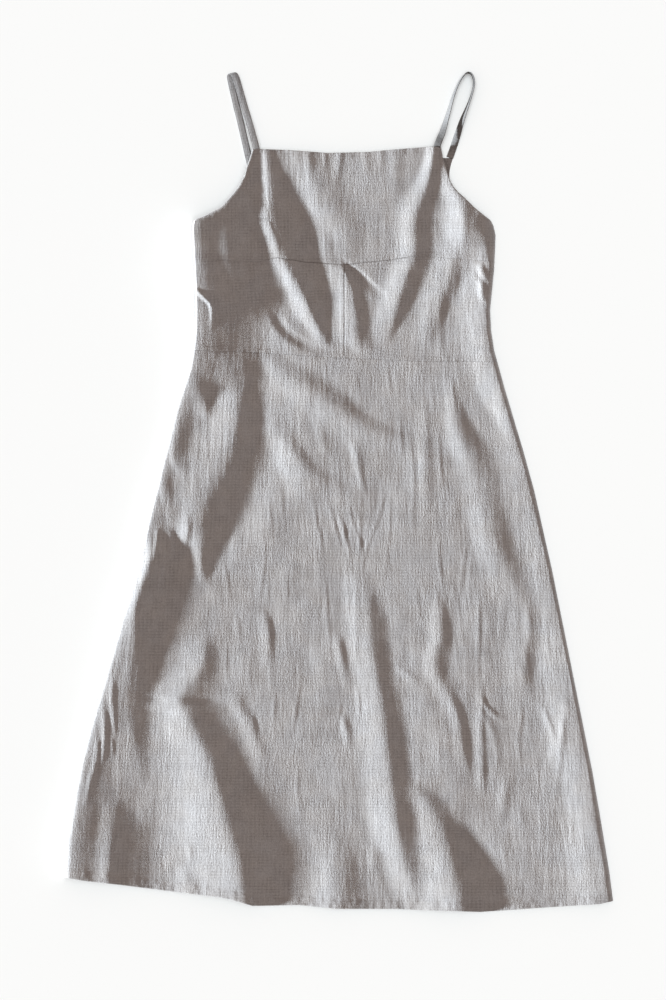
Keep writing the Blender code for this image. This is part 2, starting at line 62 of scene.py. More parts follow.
# lines that run across: across = chart x, down = chart y
NECKLINE = ((240, 149), (259, 149), (288, 150), (328, 153), (368, 152), (400, 149), (432, 146.5), (446, 147.5))
BUST_SEAM = ((190, 259), (257, 262), (278, 257.5), (304, 262), (345, 264.5), (390, 260), (412, 256.5), (436, 257), (497, 262))
WAIST_SEAM = ((188, 350), (247, 352), (345, 358), (419, 361), (500, 362))
HEM = ((60, 876), (66, 878), (84, 881), (120, 885), (168, 891), (216, 897), (228, 899), (252, 906),
       (300, 905), (336, 909), (396, 909), (444, 911), (480, 912), (552, 907), (600, 904), (613, 901))
BACK_TOP = ((240, 166), (254, 166), (345, 162), (441, 158), (460, 158))
BACK_EDGE = ((147, 246.5, 453), (158, 246.5, 453), (165, 246.5, 450.8), (171, 247, 449.6), (177, 246.5, 449.3), (186, 241, 451.5))

# the roll along each side: down, height mm, width inwards, width of the outer face
ROLL_LEFT = (
    (149, 5, 9, 0.5), (180, 10, 19, 0.5), (205, 20, 38, 0.5), (222, 31, 72, 2), (240, 34, 80, 2.5),
    (262, 34, 80, 2.5), (285, 32, 80, 2.5), (305, 27, 78, 3), (330, 18.5, 68, 3), (350, 16.5, 60, 3), (376, 17, 58, 4),
    (391, 16, 46, 5), (400, 9, 30, 5), (407, 5, 30, 5), (420, 4, 30, 4), (440, 4, 34, 4),
    (465, 7, 46, 4), (500, 10, 54, 4), (525, 11.5, 50, 4), (545, 10.5, 38, 5), (565, 9, 30, 5), (583, 11, 34, 4.5), (600, 14, 38, 4), (620, 15, 40, 4.5),
    (650, 14, 44, 5), (680, 12, 44, 6), (700, 10.5, 44, 6), (740, 8, 44, 7), (770, 7, 46, 7), (790, 8.5, 52, 7),
    (810, 12, 62, 8), (835, 17, 70, 8), (860, 18.5, 72, 8), (910, 18, 72, 8))
ROLL_RIGHT = (
    (149, 0, 20, 1), (180, 2, 14, 1), (205, 5, 24, 3), (216, 7, 30, 12), (225, 8, 34, 19), (235, 8, 34, 17),
    (245, 8, 36, 12), (262, 8, 34, 6), (280, 8, 34, 4.5), (300, 8, 34, 4), (340, 8, 32, 4), (370, 8, 32, 4), (392, 7.5, 28, 4), (412, 6, 20, 4),
    (430, 3.5, 16, 4.2), (445, 2.5, 20, 4.4), (500, 2.5, 24, 4.6), (560, 2.5, 26, 4), (610, 4.5, 34, 3.6), (650, 6, 38, 3.4), (700, 7, 40, 3.6),
    (760, 8, 42, 4), (840, 8.6, 46, 4.4), (900, 8.6, 46, 4.8))
LOW = 0.635                # the tables' heights of rolls and folds are taken times this
# loft of the front above the back between its folds: down, height mm
LOFT = ((149, 5.5), (200, 5.5), (260, 5.5), (340, 4.5), (380, 5), (500, 5.5), (700, 6), (900, 6.5))

# folds: name, way the crest runs, how crisp it is, then one row per station:
# station along the run, crest across it, rise mm, width before, width after
FOLDS = (
    ("bust ridge left", "down", .35, ((138, 265, 3, 10, 12), (152, 266, 3.6, 10, 13), (165, 267.5, 5, 11, 15), (180, 269, 6.8, 13, 18), (200, 270, 8.6, 16, 22), (215, 269.5, 11, 18, 28), (228, 271.5, 13, 19, 34), (240, 276, 13.4, 20, 35), (260, 283, 12.6, 20, 32), (280, 294, 11.4, 20, 26), (300, 305, 9.8, 19, 22), (315, 312, 7.6, 17, 16), (326, 317.5, 5.4, 14, 12), (338, 322.5, 2.8, 12, 9), (350, 328, 0, 12, 9))),
    ("bust tuck", "down", .1, ((214, 314, 0, 10, 10), (226, 317.5, 1.2, 10, 12), (240, 322, 1.6, 10, 12), (256, 323, 1.2, 10, 10), (268, 323, 0, 8, 8))),
    ("bust hollow", "down", 0, ((170, 288, 0, 14, 18), (195, 293, -3, 18, 22), (225, 303, -5.5, 24, 26), (255, 309, -5.5, 24, 22), (285, 318, -4.5, 20, 16), (310, 324, -3, 16, 12), (332, 324, 0, 12, 10))),
    ("bust ridge right", "down", .4, ((138, 434, 4, 9, 8), (152, 433, 4.8, 9, 9), (168, 430.5, 5.6, 11, 11), (182, 427.5, 5.8, 14, 12), (198, 421, 6.2, 17, 15), (212, 415.5, 7, 18, 17), (228, 413.5, 7.1, 19, 18), (242, 414, 7, 20, 17), (257, 413, 6.8, 20, 17), (270, 408, 6.8, 20, 17), (285, 403, 6.4, 20, 16), (300, 398, 5.8, 20, 15), (315, 394, 4.6, 20, 13), (326, 391, 3.2, 18, 10), (338, 388, 1, 14, 8), (346, 386, 0, 12, 8))),
    ("side bulge right", "down", .1, ((165, 448, 0, 8, 8), (185, 455, 2.6, 13, 12), (210, 460, 5, 21, 22), (235, 460, 5, 23, 24), (260, 454, 4.6, 20, 22), (280, 446, 4.2, 20, 18), (300, 438, 4.2, 20, 16), (325, 431, 2.8, 20, 14), (350, 426, 0, 16, 14))),
    ("panel shoulder", "down", .1, ((146, 300, 2, 16, 20), (170, 310, 2.5, 18, 24), (195, 324, 3, 20, 28), (212, 336, 3.5, 26, 26), (226, 342, 3, 24, 26), (245, 348, 1, 18, 20), (262, 348, 0, 18, 20))),
    ("centre ridge", "down", .35, ((262, 341, 0, 14, 6), (270, 343, 3.5, 18, 7), (285, 349.5, 5, 20, 10), (300, 352, 5.5, 20, 13), (318, 354.5, 5.5, 22, 14), (335, 355, 5, 22, 16), (345, 358, 3, 16, 18), (356, 366, 0, 14, 14))),
    ("bust end hollow", "across", 0, ((268, 314, 0, 8, 8), (280, 326, -1.4, 9, 8), (292, 337, -1.8, 9, 8), (306, 345, -1.4, 8, 8), (322, 350, 0, 8, 8))),
    ("skirt 1", "down", .25, ((345, 244, 0, 50, 22), (362, 242, 3.6, 46, 20), (378, 241, 5.2, 40, 20), (400, 238.5, 5.8, 36, 20), (420, 236, 6.4, 38, 22), (440, 231, 7.8, 42, 27), (450, 227, 8.6, 42, 32), (460, 221.5, 9.6, 42, 37), (480, 213, 10, 40, 38), (500, 204.5, 10.3, 38, 40), (512, 200.5, 10.3, 36, 40), (522, 198, 9.8, 32, 38), (532, 198, 8.8, 26, 34), (542, 199.5, 7, 22, 28), (555, 200.5, 5.2, 16, 20), (570, 202, 3.4, 12, 12), (588, 205, 0, 10, 8))),
    ("skirt 1 hollow", "down", 0, ((380, 256, 0, 18, 40), (405, 256, -2.8, 20, 52), (430, 256, -3.4, 22, 60), (455, 254, -4.2, 26, 60), (480, 246, -4.8, 28, 56), (505, 236, -5, 30, 50), (525, 228, -4.8, 26, 42), (545, 220, -3.4, 20, 32), (565, 213, -2, 14, 20), (585, 210, 0, 10, 12))),
    ("skirt 2", "down", .35, ((532, 151, 0, 6, 16), (541, 151.5, 3, 8, 22), (548, 152, 6, 10, 30), (556, 151.5, 9.5, 11, 36), (564, 149.5, 12, 12, 40), (577, 145.5, 12, 12, 42), (591, 140.5, 10, 12, 40), (604, 136.5, 7.4, 11, 36), (620, 135.5, 5.8, 14, 32), (640, 136, 5.5, 18, 30), (660, 135, 5, 22, 28), (680, 133.5, 4.8, 24, 26), (700, 131, 4.6, 28, 24), (720, 130, 4.6, 30, 24), (740, 132.5, 4, 32, 20), (755, 136, 3, 34, 16), (772, 138, 1.2, 34, 14), (790, 139, 0, 34, 14))),
    ("skirt 3", "down", .5, ((630, 205, 0, 16, 12), (645, 204, 3, 20, 14), (665, 201.5, 5, 24, 16), (680, 194, 6, 26, 20), (690, 185, 7.4, 26, 26), (700, 178, 9.6, 26, 30), (712, 186, 10.6, 30, 30), (725, 190.5, 11, 34, 30), (742, 199.5, 12, 38, 30), (770, 210.5, 13.8, 46, 33), (800, 219.5, 16.8, 54, 38), (830, 227.5, 19.4, 62, 43), (860, 235.5, 20.8, 66, 45), (885, 239.5, 19.6, 66, 43), (915, 242, 18.5, 66, 42))),
    ("skirt 4", "down", .2, ((798, 113, 0, 14, 18), (812, 114, 2.2, 16, 24), (832, 113, 4.2, 18, 34), (865, 111, 6.2, 18, 44), (910, 109, 7.2, 18, 50))),
    ("skirt 5", "down", .45, ((572, 364, 0, 24, 11), (590, 366, 2.2, 24, 13), (604, 367.5, 3.8, 24, 15), (622, 369.5, 4.8, 24, 19), (642, 371, 5.2, 24, 20), (660, 374, 5.5, 24, 18), (680, 377, 6, 26, 18), (700, 380.5, 6.5, 28, 19), (740, 385, 7.3, 30, 20), (780, 389.5, 8.4, 30, 22), (802, 392.5, 9.2, 30, 23), (825, 396, 9.2, 28, 23), (845, 400, 8, 26, 22), (865, 404.5, 6, 24, 19), (885, 410, 3.6, 20, 16), (902, 415, 1, 20, 11), (912, 418, 0, 20, 10))),
    ("skirt 5 foot", "down", 0, ((620, 416, 0, 16, 16), (650, 421, .8, 20, 22), (690, 428, 1.6, 26, 26), (725, 439, 1.8, 28, 30), (760, 454, 1.8, 28, 32), (795, 462, 1.4, 28, 30), (835, 468, 0, 26, 26))),
    ("skirt 6", "down", .4, ((780, 411, 0, 16, 12), (792, 418, 2.6, 20, 14), (802, 426, 3.8, 24, 17), (814, 434, 4.8, 28, 19), (828, 439.5, 6, 32, 21), (842, 444, 7.4, 36, 24), (862, 450.5, 10.2, 42, 32), (882, 456, 13.6, 50, 41), (902, 459.5, 16, 52, 47), (920, 461, 17, 52, 49))),
    ("skirt 6 hollow", "down", 0, ((812, 462, 0, 18, 20), (840, 472, -2.6, 22, 26), (870, 484, -3.8, 30, 30), (905, 492, -4.2, 32, 32), (925, 494, -4.2, 32, 32))),
    ("skirt 7", "down", .15, ((376, 451, 0, 10, 8), (400, 454, 1.8, 12, 9), (416, 456, 3.6, 14, 14), (432, 459, 5.2, 17, 20), (446, 465, 5.6, 19, 23), (460, 471.5, 4.8, 20, 24), (480, 477, 3.4, 20, 26), (500, 481, 3.4, 20, 26), (520, 486.5, 4.2, 20, 26), (540, 492.5, 4.5, 22, 24), (560, 500.5, 4, 24, 21), (580, 511, 2.9, 26, 19), (600, 521.5, 2.4, 26, 16), (622, 525, 2.7, 24, 16), (642, 524.5, 2.7, 22, 16), (662, 521.5, 2.3, 20, 16), (682, 520.5, 1.5, 20, 14), (712, 521, 0, 18, 14))),
    ("skirt 8", "down", .4, ((592, 438, 0, 14, 8), (612, 440, 2.5, 14, 9), (640, 440, 4, 14, 12), (658, 435, 4.6, 14, 18), (672, 436, 4.2, 14, 17), (684, 443, 3.6, 14, 13), (702, 452, 3.2, 14, 9), (722, 459, 2.6, 12, 8), (742, 462, 2.4, 12, 7), (757, 464.5, 2, 12, 7), (778, 468, 0, 12, 8))),
    ("skirt 9", "down", .2, ((828, 337, 0, 26, 20), (848, 337.5, 2.4, 28, 24), (868, 338, 4.8, 30, 29), (888, 338.5, 6.6, 30, 32), (915, 339, 7.4, 30, 33))),
    ("right fall", "down", 0, ((390, 560, 0, 150, 80), (470, 575, -2.4, 170, 90), (600, 595, -3.4, 200, 100), (760, 610, -3, 220, 100), (920, 620, -2.6, 220, 100))),
    ("waist crease 1", "across", .1, ((262, 361, 0, 12, 16), (278, 371, 2.8, 16, 20), (300, 385, 4.7, 19, 26), (320, 397, 5.2, 20, 28), (340, 411, 5.2, 20, 28), (356, 423, 4.7, 18, 26), (375, 431.5, 3.6, 15, 22), (400, 438.5, 2.4, 12, 18), (430, 441, 0, 10, 14))),
    ("waist crease 2", "across", 0, ((266, 422, 0, 14, 18), (283, 444, 2.6, 18, 26), (295, 460, 3.8, 19, 29), (307, 473, 3.8, 18, 28), (322, 481, 2.6, 15, 22), (350, 486, 0, 8, 14))),
)
# smaller folds, puckers and creases that only the fine cloth carries; same columns
SMALL_FOLDS = (
    ("centre crease", "across", .3, ((341, 261, 0, 5, 6), (350, 268, -2.6, 6, 9), (360, 276, -3.4, 6, 10), (370, 284, -3, 6, 10), (379, 291, -1.4, 5, 8), (388, 296, 0, 5, 8))),
    ("left side rib", "down", 0, ((217, 230, 0, 14, 12), (228, 230.5, 4.2, 17, 13), (238, 231, 5.6, 18, 14), (252, 232, 5.4, 18, 14), (268, 235, 3.8, 16, 14), (292, 238, 0, 14, 12))),
    ("left side rib low", "down", .1, ((290, 248, 0, 8, 8), (304, 251, 2, 9, 9), (320, 257, 1.2, 9, 9), (334, 262, 0, 9, 9))),
    ("under bust rib", "across", .1, ((256, 298, 0, 10, 10), (262, 310, 1.2, 11, 13), (270, 324, 2.4, 12, 15), (280, 336, 3.1, 12, 16), (293, 345, 2.8, 12, 16), (308, 351, 1.8, 11, 13), (324, 354, 0, 10, 12))),
    ("neck pucker 1", "down", .3, ((146, 308, 1.6, 6, 9), (165, 309, 1.6, 6, 9), (195, 312, 0, 6, 9))),
    ("neck pucker 2", "down", .3, ((146, 341, 1.8, 7, 6), (165, 339, 1.6, 7, 6), (200, 332, 0, 6, 6))),
    ("neck pucker 3", "down", .3, ((146, 366, 1.0, 6, 6), (162, 366, .9, 6, 6), (182, 368, 0, 6, 6))),
    ("neck pucker 4", "down", .3, ((146, 397, 1.6, 9, 10), (170, 396, 1.6, 9, 11), (202, 394, 0, 8, 9))),
    ("neck pucker 5", "down", .3, ((146, 324, .8, 4, 4), (160, 325, .8, 4, 4), (176, 326, 0, 4, 4))),
    ("neck pucker 6", "down", .3, ((146, 381, .9, 5, 5), (160, 381, .8, 5, 5), (178, 380, 0, 5, 5))),
    ("neck pucker 7", "down", .3, ((146, 296, .9, 5, 5), (158, 296, .8, 5, 5), (174, 298, 0, 5, 5))),
    ("side pucker left", "down", .3, ((286, 193, 0, 3, 3), (291, 198, 3, 4, 4), (297, 204, 5, 4, 4), (303, 210, 5, 4, 4), (312, 212.5, 3.4, 4, 3), (322, 212, 1.6, 4, 3), (332, 211, 0, 4, 3))),
    ("side pucker right 1", "down", .3, ((262, 480, 0, 5, 5), (270, 482, 3.2, 6, 6), (278, 485, 2, 5, 5), (283, 487, 0, 5, 4))),
    ("side pucker right 2", "down", .3, ((277, 479, 0, 5, 5), (285, 481.5, 3.2, 6, 6), (295, 482, 2.8, 6, 6), (304, 485, 0, 5, 4))),
    ("bodice streak 1", "down", .3, ((200, 462, 0, 7, 7), (218, 464, 1.6, 7, 7), (236, 464, 1.2, 7, 7), (250, 462, 0, 7, 7))),
    ("bodice streak 2", "down", .3, ((250, 455, 0, 7, 6), (268, 452, 1, 7, 7), (285, 449, 1.1, 7, 7), (300, 446, 0, 7, 7))),
    ("bodice streak 3", "down", .3, ((262, 459, 0, 5, 5), (276, 456.5, .8, 5, 5), (292, 454.5, .8, 5, 5), (306, 453, 0, 5, 5))),
    ("bodice streak 4", "down", .3, ((288, 443, 0, 6, 5), (304, 441, .9, 6, 6), (322, 440, .9, 6, 6), (346, 440, .8, 6, 6), (364, 441, 0, 6, 6))),
    ("edge mark 0", "down", .3, ((376, 197, 0, 10, 9), (390, 200, 2.8, 12, 12), (400, 203, 4.4, 14, 14), (410, 205, 4.0, 14, 13), (420, 207, 0, 12, 8))),
    ("edge mark 1", "down", .3, ((412, 180, 0, 5, 10), (420, 179, 1.8, 6, 13), (430, 176.5, 2.8, 7, 15), (446, 173.5, 3.2, 7, 16), (460, 174.5, 2.5, 7, 15), (471, 180, 1.3, 6, 11), (480, 185, 0, 5, 8))),
    ("edge mark 5", "down", .3, ((526, 158, 0, 4, 4), (537, 157.5, 2.4, 4, 4), (550, 156, 2.2, 4, 4), (566, 154, 0, 4, 4))),
    ("edge mark 6", "down", .3, ((528, 170, 0, 5, 5), (539, 171, 2.6, 5, 5), (552, 171, 2, 5, 5), (564, 170, 0, 5, 5))),
    ("edge mark 7", "down", .3, ((552, 163, 0, 4, 4), (564, 162, 2, 4, 4), (580, 159, 1.8, 4, 4), (596, 155, 0, 4, 4))),
    ("edge mark 2", "down", .3, ((472, 163, 0, 5, 9), (484, 162.5, 1.8, 5, 12), (498, 164, 1.4, 5, 12), (508, 164, 0, 5, 10))),
    ("edge mark 3", "down", .3, ((486, 169, 0, 8, 12), (502, 169, 1.4, 8, 14), (518, 171, 1.2, 8, 13), (530, 173, 0, 6, 10))),
    ("edge mark 4", "down", .3, ((514, 187, 0, 12, 6), (528, 187.5, 3.2, 12, 6), (544, 184.5, 3, 10, 7), (556, 184, 0, 8, 7))),
    ("edge crease 1", "down", .3, ((672, 113.5, 0, 3, 3.5), (688, 111.8, 2, 3.5, 4), (704, 111.8, 2, 3.5, 4), (722, 113.8, 1.6, 3, 3.5), (746, 116, 0, 3, 3))),
    ("edge crease 2", "down", .3, ((698, 103, 0, 4, 4), (714, 104, 1.8, 4, 4), (735, 104.5, 3, 4, 5), (752, 103.5, 2.6, 4, 5), (768, 101, 0, 4, 5))),
    ("edge crease 3", "down", .3, ((734, 97, 0, 4, 4), (748, 97.5, 2, 4, 4), (766, 94.5, 2.4, 4, 5), (784, 89.5, 2, 4, 5), (812, 84, 0, 4, 6))),
    ("edge crease 4", "down", .3, ((726, 110.5, 0, 3, 3), (744, 112, 1.4, 3, 3), (764, 113.5, 0, 3, 3))),
    ("skirt streak 1", "down", .3, ((690, 236, 0, 14, 10), (708, 241, 2.5, 12, 9), (722, 248, 3, 12, 10), (740, 255, 2, 12, 10), (765, 266, 0, 12, 10))),
    ("skirt streak 2", "down", .3, ((862, 184, 0, 10, 12), (885, 187, 3, 11, 14), (912, 189, 3, 11, 14))),
    ("skirt streak 3", "down", .2, ((400, 424, 0, 12, 7), (420, 425.5, 1.3, 12, 9), (440, 425.5, 2.0, 12, 10), (465, 425.5, 2.1, 12, 10), (490, 426.5, 1.5, 12, 9), (515, 428, 0, 12, 8))),
    ("skirt streak 4", "down", .3, ((680, 481.5, 0, 8, 4), (700, 481.5, 1.7, 8, 5), (740, 481.5, 1.9, 8, 5.5), (775, 482.5, 1.8, 8, 5.5), (800, 484, 0, 8, 5))),
    ("skirt streak 5", "down", .3, ((606, 262, 0, 10, 6), (622, 266, 2.6, 12, 8), (638, 268.5, 3.4, 12, 8), (652, 268.5, 2.6, 12, 8), (672, 269, 1, 10, 8), (690, 272, 0, 8, 8))),
    ("skirt streak 6", "down", .3, ((696, 482, 0, 4, 3), (704, 485, 1.6, 4, 3), (711, 490, 2, 4, 3.5), (717, 498, 1.6, 4, 3), (721, 506, 0, 3, 3))),
    ("skirt streak 7", "across", .3, ((396, 668, 0, 6, 7), (404, 672, 1.6, 6, 7), (412, 677, 1.4, 6, 7), (420, 681, 0, 6, 7))),
    ("skirt streak 8", "down", .3, ((560, 352, 0, 10, 8), (590, 354, 1.2, 10, 8), (620, 356, 1.2, 10, 8), (650, 356, 1, 10, 8), (672, 358, 0, 8, 8))),
    ("skirt streak 9", "down", .3, ((438, 354, 0, 6, 6), (450, 355.5, 1.6, 6, 7), (466, 358.5, 1.6, 6, 7), (482, 362, 1.2, 5, 5), (500, 366, 0, 5, 5))),
    ("skirt streak 10", "down", .3, ((418, 318, 0, 7, 6), (432, 321, 1.3, 7, 7), (446, 323.5, 1.2, 7, 7), (458, 327, 0, 7, 7))),
    ("skirt streak 11", "down", .3, ((770, 511, 0, 10, 8), (790, 506, 1.8, 10, 8), (812, 502, 1.2, 10, 8), (830, 500, 0, 10, 8))),
    ("skirt streak 12", "down", .2, ((600, 528, 0, 7, 13), (614, 529, 1.4, 8, 14), (636, 530, 1.8, 8, 14), (656, 527, 1, 7, 13), (680, 526, 1.3, 7, 13), (704, 532, 0, 6, 12))),
    ("skirt streak 13", "down", .3, ((632, 338, 0, 8, 6), (648, 339.5, 2.8, 8, 7), (662, 342, 2.4, 8, 7), (676, 345, 1, 8, 7), (690, 348, 0, 8, 6))),
    ("skirt streak 14", "down", .3, ((840, 372, 0, 8, 8), (856, 374, 1.6, 8, 8), (880, 376, 0, 8, 8))),
    ("skirt streak 15", "down", .3, ((712, 343, 0, 6, 6), (724, 344.5, 2.6, 6, 7), (736, 347, 2, 6, 7), (752, 349, 0, 6, 6))),
    ("skirt streak 16", "down", .3, ((710, 484, 0, 6, 5), (722, 489, 1.2, 6, 6), (735, 494, 1.2, 6, 6), (750, 497, .9, 5, 5), (772, 498.5, 0, 5, 5))),
    ("skirt streak 17", "down", .3, ((690, 566, 0, 6, 6), (712, 566.5, 1, 7, 6), (728, 563, 1.3, 8, 6), (746, 558, 1.2, 8, 7), (764, 551, .8, 8, 7), (784, 545, 0, 8, 7))),
    ("skirt streak 18", "down", .3, ((700, 540, 0, 5, 4), (714, 546, 1.2, 5, 4), (728, 551, 1.4, 5, 4), (744, 556, 0, 5, 4))),
    ("skirt streak 19", "down", .3, ((716, 562, 0, 4, 4), (736, 563, 1.2, 5, 5), (756, 560, 1.4, 5, 5), (784, 557, 1, 5, 5), (812, 553, 0, 5, 5))),
    ("skirt streak 20", "down", .3, ((840, 188, 0, 5, 5), (852, 190, 1.6, 5, 5), (866, 190, 0, 5, 5))),
)
# long thin creases left by wearing: station down, crest across, rise mm, half width
CREASES = (
    ((494, 313, 0, 3), (508, 315, .9, 3), (522, 317, 1.1, 3), (537, 321, .9, 3), (554, 323.5, 0, 3)),
    ((502, 330.5, 0, 3), (520, 334, 1.0, 3), (536, 338.5, 1.0, 3), (552, 342, 0, 3)),
    ((508, 339, 0, 3), (522, 342.5, 1.5, 3.2), (538, 346.5, 1.6, 3.2), (552, 350, .9, 3), (570, 352, 0, 3)),
    ((504, 348, 0, 3), (516, 351.5, 1.0, 3), (530, 356, 1.0, 3), (545, 361, .8, 3), (560, 363, 0, 3)),
    ((490, 386, 0, 3), (506, 382, .9, 3), (520, 378.5, 1.0, 3), (536, 372, .9, 3), (552, 366.5, .8, 3), (590, 358, 0, 3)),
    ((512, 361.5, 0, 3), (524, 360.5, .8, 3), (540, 361, .9, 3), (558, 362, 0, 3)),
    ((498, 389, 0, 3), (520, 390.5, .7, 3), (548, 388.5, .7, 3), (590, 384, 0, 3)),
    ((430, 411, 0, 4), (460, 413.5, 1.2, 4.5), (485, 415, 1.2, 4.5), (515, 414, .8, 4), (548, 415, 0, 4)),
    ((428, 439.5, 0, 3), (450, 440.5, 1.0, 3), (476, 442, 1.0, 3), (492, 443, 0, 3)),
    ((416, 401, 0, 3), (440, 402, .9, 3), (464, 403.5, 0, 3)),
    ((526, 441.5, 0, 3), (550, 440, .9, 3), (568, 440.5, .9, 3), (588, 444, 0, 3)),
    ((540, 468.5, 0, 3), (554, 466, .9, 3), (572, 464, .8, 3), (598, 461, 0, 3)),
    ((364, 388, 0, 3), (384, 389.5, .8, 3), (404, 390.5, 0, 3)),
    ((370, 357, 0, 3), (385, 358.5, .8, 3), (400, 359.5, 0, 3)),
    ((356, 324, 0, 3), (368, 325.5, .9, 3), (382, 326.5, 0, 3)),
    ((372, 452, 0, 3), (390, 453.5, 1.0, 3), (412, 456, 0, 3)),
    ((376, 432, 0, 3), (394, 433, .8, 3), (414, 434, 0, 3)),
    ((492, 269, 0, 3), (514, 271, .9, 3), (544, 272, 0, 3)),
    ((482, 280, 0, 3), (500, 282.5, .9, 3), (522, 284, 0, 3)),
    ((546, 266.5, 0, 3), (566, 264.5, .9, 3), (582, 262.5, .9, 3), (602, 259, 0, 3)),
    ((576, 268, 0, 3), (592, 268.5, .9, 3), (608, 270, 0, 3)),
    ((572, 286, 0, 3), (588, 287.5, .9, 3), (604, 288, 0, 3)),
    ((572, 325, 0, 3), (598, 327, 1.1, 3), (622, 328.5, 1.0, 3), (646, 331, 0, 3)),
    ((576, 348.5, 0, 3), (600, 349, .9, 3), (622, 350, 0, 3)),
    ((672, 301.5, 0, 3), (694, 299, 1.1, 3), (714, 296, 1.1, 3), (744, 290, 0, 3)),
    ((652, 251.5, 0, 3), (676, 250.5, .7, 3), (700, 253, 0, 3)),
    ((690, 276.5, 0, 3), (712, 275, 1.0, 3), (734, 273.5, 0, 3)),
    ((710, 253, 0, 3), (722, 254, 1.1, 3), (734, 257, 0, 3)),
    ((696, 342.5, 0, 3), (714, 339.5, 1.0, 3), (734, 335.5, 0, 3)),
    ((682, 357.5, 0, 3), (702, 359.5, 1.0, 3), (726, 360.5, 0, 3)),
    ((586, 418, 0, 3), (604, 418.5, .9, 3), (622, 421, 0, 3)),
    ((582, 436.5, 0, 3), (598, 438, .9, 3), (612, 438.5, 0, 3)),
    ((590, 479.5, 0, 3), (616, 480, 1.0, 3), (642, 480, 1.1, 3), (664, 478.5, 1.0, 3), (692, 481, 0, 3)),
    ((670, 540.5, 0, 3), (690, 542.5, 1.1, 3), (708, 544.5, 0, 3)),
    ((612, 549, 0, 3), (630, 547, .7, 3), (650, 549, .7, 3), (668, 552, 0, 3)),
    ((700, 521, 0, 3.5), (718, 522.5, 1.2, 3.5), (736, 519.5, 1.0, 3.5), (760, 521, 0, 3)),
    ((728, 442, 0, 3), (748, 440, .8, 3), (772, 441, 0, 3)),
    ((744, 419, 0, 3), (764, 421, .8, 3), (790, 420, 0, 3)),
    ((760, 300, 0, 3), (784, 298, .8, 3), (812, 300, 0, 3)),
    ((640, 229, 0, 3), (662, 227, .9, 3), (688, 229, 0, 3)),
    ((556, 222, 0, 3.5), (570, 226, 1.0, 3.5), (590, 229, 1.0, 3.5), (606, 231, 0, 3)),
    ((618, 238, 0, 4), (628, 239.5, 1.0, 4), (640, 241, 0, 4)),
)
SMALL = 0.8                                # share of the small folds' tabled height
SEAM_DIP, SEAM_HALF = 0.42, 1.0            # mm, groove along a seam and its half width
HEM_DEEP = 12.0                            # mm, depth of the turned hem
EDGE_ROUND = 1.5                           # mm, how far in a turned edge is rounded
VISIBLE = 0.35                             # mm, top of the fine cloth above the solid's middle
FAN = 0.15                                 # how far the grain fans out from waist to hem


# -------------------------------------------------------------- functions
def column(rows, at, k):
    """Value of column k of a table at station `at`, joined by straight lines."""
    t = np.array(rows, float)
    return np.interp(at, t[:, 0], t[:, k])


def flowing(rows, at, k):
    """The same through a smooth curve."""
    t = np.array(rows, float)
    a, v = t[:, 0], t[:, k]
    d = np.diff(v) / np.diff(a)
    m = np.empty_like(v)
    m[0], m[-1] = d[0], d[-1]
    m[1:-1] = (d[:-1] + d[1:]) / 2
    i = np.clip(np.searchsorted(a, at) - 1, 0, len(a) - 2)
    h = a[i + 1] - a[i]
    u = np.clip((at - a[i]) / h, 0, 1)
    return ((2 * u**3 - 3 * u**2 + 1) * v[i] + (u**3 - 2 * u**2 + u) * h * m[i]
            + (-2 * u**3 + 3 * u**2) * v[i + 1] + (u**3 - u**2) * h * m[i + 1])


def ease(t):
    t = np.clip(t, 0, 1)
    return t * t * (3 - 2 * t)


def crest(t, crisp):
    """Cross profile of a fold: 1 on the crest, 0 at its foot (t = 1)."""
    t = np.abs(t)
    soft = 0.5 * (1 + np.cos(np.pi * np.clip(t, 0, 1)))
    tent = np.clip(1.0 - (np.sqrt(t * t + 0.012) - 0.11), 0, 1)
    tent = tent * tent * (1.4 - 0.4 * tent) * 0.5 + tent * 0.5
    return (1 - crisp) * soft + crisp * np.where(t < 1.05, tent, 0)


def fold_rise(fold, x, y):
    name, runs, crisp, rows = fold
    s, c = (y, x) if runs == "down" else (x, y)
    z = np.zeros_like(x)
    on = (s >= rows[0][0]) & (s <= rows[-1][0])
    if not on.any():
        return z
    ss, cc = s[on], c[on]
    line = flowing(rows, ss, 1)
    lean = flowing(rows, ss + 0.5, 1) - flowing(rows, ss - 0.5, 1)
    off = (cc - line) / np.sqrt(1 + lean * lean)
    wide = np.where(off < 0, flowing(rows, ss, 3), flowing(rows, ss, 4))
    z[on] = LOW * flowing(rows, ss, 2) * crest(off / wide, crisp)
    return z


def crease_rise(rows, x, y):
    """A thin crease: a small sharp ridge with a shallow dent just after it."""
    z = np.zeros_like(x)
    on = (y >= rows[0][0]) & (y <= rows[-1][0])
    if not on.any():
        return z
    ss = y[on]
    off = (x[on] - flowing(rows, ss, 1)) / flowing(rows, ss, 3)
    z[on] = 0.46 * flowing(rows, ss, 2) * (0.62 * np.exp(-(off + 0.35)**2 / 0.5) - 0.38 * np.exp(-(off - 0.8)**2 / 0.4))
    return z


